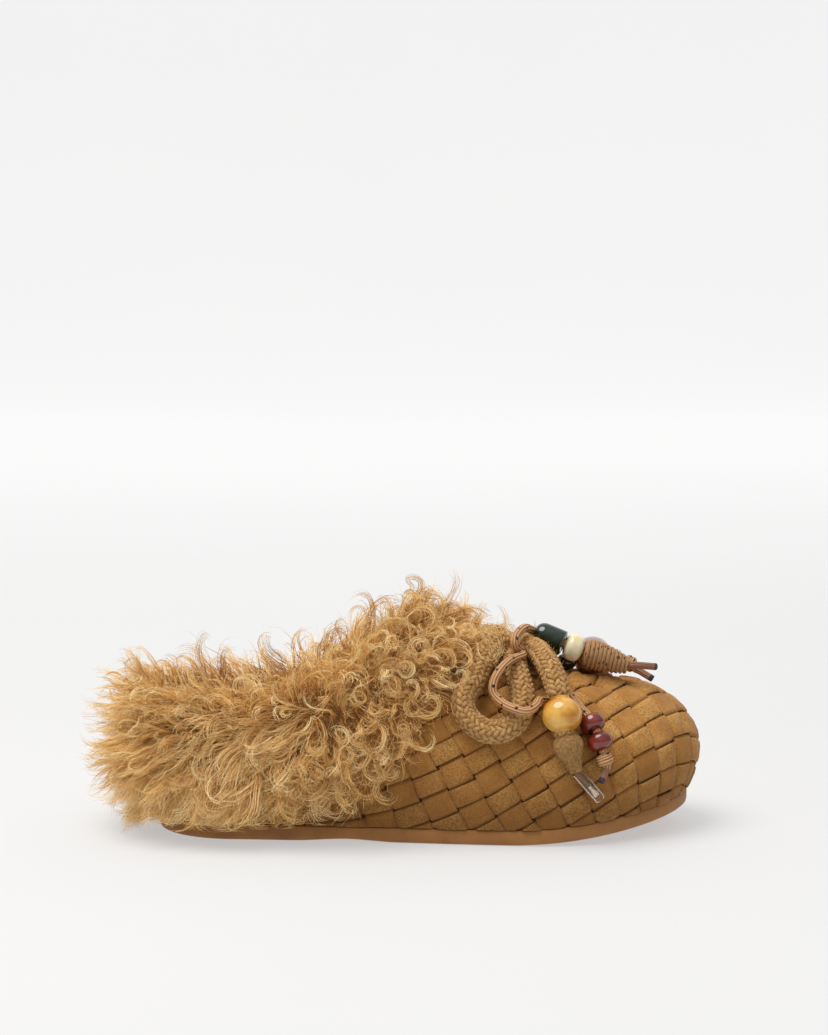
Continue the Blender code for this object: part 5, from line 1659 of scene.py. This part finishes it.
def comb_guides(roots, axes, coat, tree, dice):
    """The middle line of every lock."""
    count = len(roots.spots)
    style = {column: roots.style(column) for column in Style._fields[2:]}
    step = style["length"] * roots.lengths * coat.reach * dice.uniform(*LENGTH_SPREAD, count) / GUIDE_STEPS
    stray = dice.normal(0, WAY_STRAY, (count, 3))
    way = roots.along * style["ahead"][:, None] + roots.up * style["rise"][:, None]
    way = unit(way + roots.out * style["out"][:, None] + stray)
    hand = np.where(dice.random(count) < 0.5, -1, 1)
    turns = coat.curl * style["turns"] * dice.uniform(*TURN_SPREAD, count) * hand
    phase = dice.uniform(0, TAU, count)
    spot = roots.spots - roots.out * ROOT_SINK
    lines = [spot]
    for k in range(GUIDE_STEPS):
        share = (k + 0.5) / GUIDE_STEPS
        curl = np.clip((share - style["start"]) / (1 - style["start"]), 0, 1)
        tight = np.where(curl > 0, CURL_EVEN + (1 - CURL_EVEN) * 2 * curl, 0) / (1 - style["start"])
        bend = turns * TAU * tight / GUIDE_STEPS
        bend += style["wave"] * WAVE_SIZE * np.sin(phase + share * TAU * WAVE_TURNS) * TAU / GUIDE_STEPS
        way = turn_about(way, axes, bend)
        way[:, 2] -= style["droop"] / GUIDE_STEPS
        way += axes * (SWING_SIZE * np.sin(phase + share * TAU * SWING_TURNS) / GUIDE_STEPS)[:, None]
        way = unit(way)
        clear = ROOT_CLEAR + TIP_CLEAR * min(1, share * CLEAR_RATE)
        spot = keep_out(spot + way * step[:, None], tree, clear)
        lines.append(spot)
    return np.stack(lines, axis=1)


def keep_out(spots, tree, clear):
    """Push points that sank into the undercoat back out, and keep them off the sole and the floor."""
    kept = spots.copy()
    for i, spot in enumerate(spots):
        found, normal, _, away = tree.find_nearest(Vector(spot))
        inside = (Vector(spot) - found).dot(normal)
        if inside < clear and away < PUSH_WITHIN:
            kept[i] += np.array(normal) * min(clear - inside, PUSH_STEP)
    kept[:, 2] = np.maximum(kept[:, 2], hair_floor(kept[:, 0]))
    return kept


def hair_floor(x):
    """How low hair hangs: to the sole's edge, and nearly to the floor behind the heel."""
    return np.interp(x, (HEEL_HAIR_FROM, HEEL_HAIR_TO), (HEEL_LOW, HAIR_LOW))


def guide_frames(lines):
    """Two directions across each guide, carried along it without twist."""
    tangent = unit(np.gradient(lines, axis=1))
    across = [unit(np.cross(tangent[:, 0], HAIR_SKEW))]
    for k in range(1, lines.shape[1]):
        step = tangent[:, k]
        across.append(unit(across[-1] - step * (across[-1] * step).sum(axis=1, keepdims=True)))
    across = np.stack(across, axis=1)
    return across, np.cross(tangent, across)


def hairs_along(guides, coat, count, dice):
    """Hairs gathered along the guides: points for each hair, and the side each one's ribbon faces."""
    locks, steps = guides.lines.shape[:2]
    across, over = guide_frames(guides.lines)
    share = np.linspace(0, 1, coat.joints)
    reach = dice.uniform(*HAIR_REACH, (locks, count)) ** REACH_POWER
    place = reach[:, :, None] * share * (steps - 1)
    low = np.minimum(place.astype(int), steps - 2)
    part = (place - low)[..., None]
    which = np.arange(locks)[:, None, None]

    def along(rows):
        return rows[which, low] * (1 - part) + rows[which, low + 1] * part

    turn = dice.uniform(0, TAU, (locks, count))
    away = np.sqrt(dice.random((locks, count)))
    gather = np.clip(1 - share**GATHER_POWER * (3 - 2 * share), 0, 1)
    tip = coat.tip * (1 + LOOSE_TIP * guides.loose[:, None, None])
    wide = tip + (coat.root - tip) * gather
    stray = 1 + dice.exponential(HAIR_STRAY, (locks, count))[:, :, None] * share
    wide = away[:, :, None] * wide * stray * guides.spread[:, None, None]
    frizz = dice.normal(0, FRIZZ, (2, locks, count))[..., None] * share
    wiggle = dice.uniform(0, TAU, (2, locks, count))[..., None]
    wiggle = wiggle + share * dice.uniform(*FRIZZ_WAVES, (2, locks, count))[..., None]
    frizz = frizz * np.sin(wiggle)
    points = along(guides.lines)
    points = points + along(across) * (wide * np.cos(turn)[:, :, None] + frizz[0])[..., None]
    points = points + along(over) * (wide * np.sin(turn)[:, :, None] + frizz[1])[..., None]
    points[..., 2] = np.maximum(points[..., 2], hair_floor(points[..., 0]) - LOW_SLACK)
    points[..., 2] -= np.maximum(points[..., 2] - HAIR_HIGH, 0) * HIGH_PRESS
    face = unit(guides.axes[:, None] + dice.normal(0, FACE_STRAY, (locks, count, 3)))
    return points.reshape(-1, coat.joints, 3), face.reshape(-1, 3)


def grow_coat(coat, patches, tree, material):
    """One kind of hair over the whole cuff, in a few pieces from side to side and heel to toe."""
    dice = np.random.default_rng(HAIR_SEED)
    roots = Roots(patches, pick_roots(patches, coat, dice))
    axes = curl_axes(roots, dice)
    lines = comb_guides(roots, axes, coat, tree, dice)
    shade = dice.normal(coat.tone, LOCK_TONE, len(lines))
    guides = Guides(lines, axes, roots.style("loose"), roots.lengths, shade)
    count = coat.hairs
    order = np.lexsort((roots.spots[:, 0], roots.spots[:, 1] > 0))
    for number, chosen in enumerate(np.array_split(order, coat.pieces), start=1):
        picked = Guides(*(column[chosen] for column in guides))
        points, face = hairs_along(picked, coat, count, dice)
        tone = np.repeat(picked.shade, count) + dice.normal(0, HAIR_TONE, len(points))
        verts, faces, tones = ribbon_arrays(points, face, coat.width, tone)
        name = coat.name if coat.pieces == 1 else f"{coat.name}_{number}"
        settle(add_mesh(name, verts, faces, material, {"tone": tones}), "fur")


def build_fur():
    patches, verts, faces = fur_patches()
    settle(add_mesh("fur_undercoat", verts, faces, down_finish()), "fur", "fur_cuff")
    tree = BVHTree.FromPolygons(verts.tolist(), faces.tolist())
    hair = fur_finish()
    for coat in COATS:
        grow_coat(coat, patches, tree, hair)


def write_sizes():
    """The solids' box and the dressed shoe's box."""
    boxes = {"cad": CAD_BOX, "visual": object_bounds()}
    {name: [list(corner) for corner in box] for name, box in boxes.items()}


add_camera()
add_stage()
add_room()
add_key()
build_bow()
build_sole()
build_upper()
build_fur()
write_sizes()
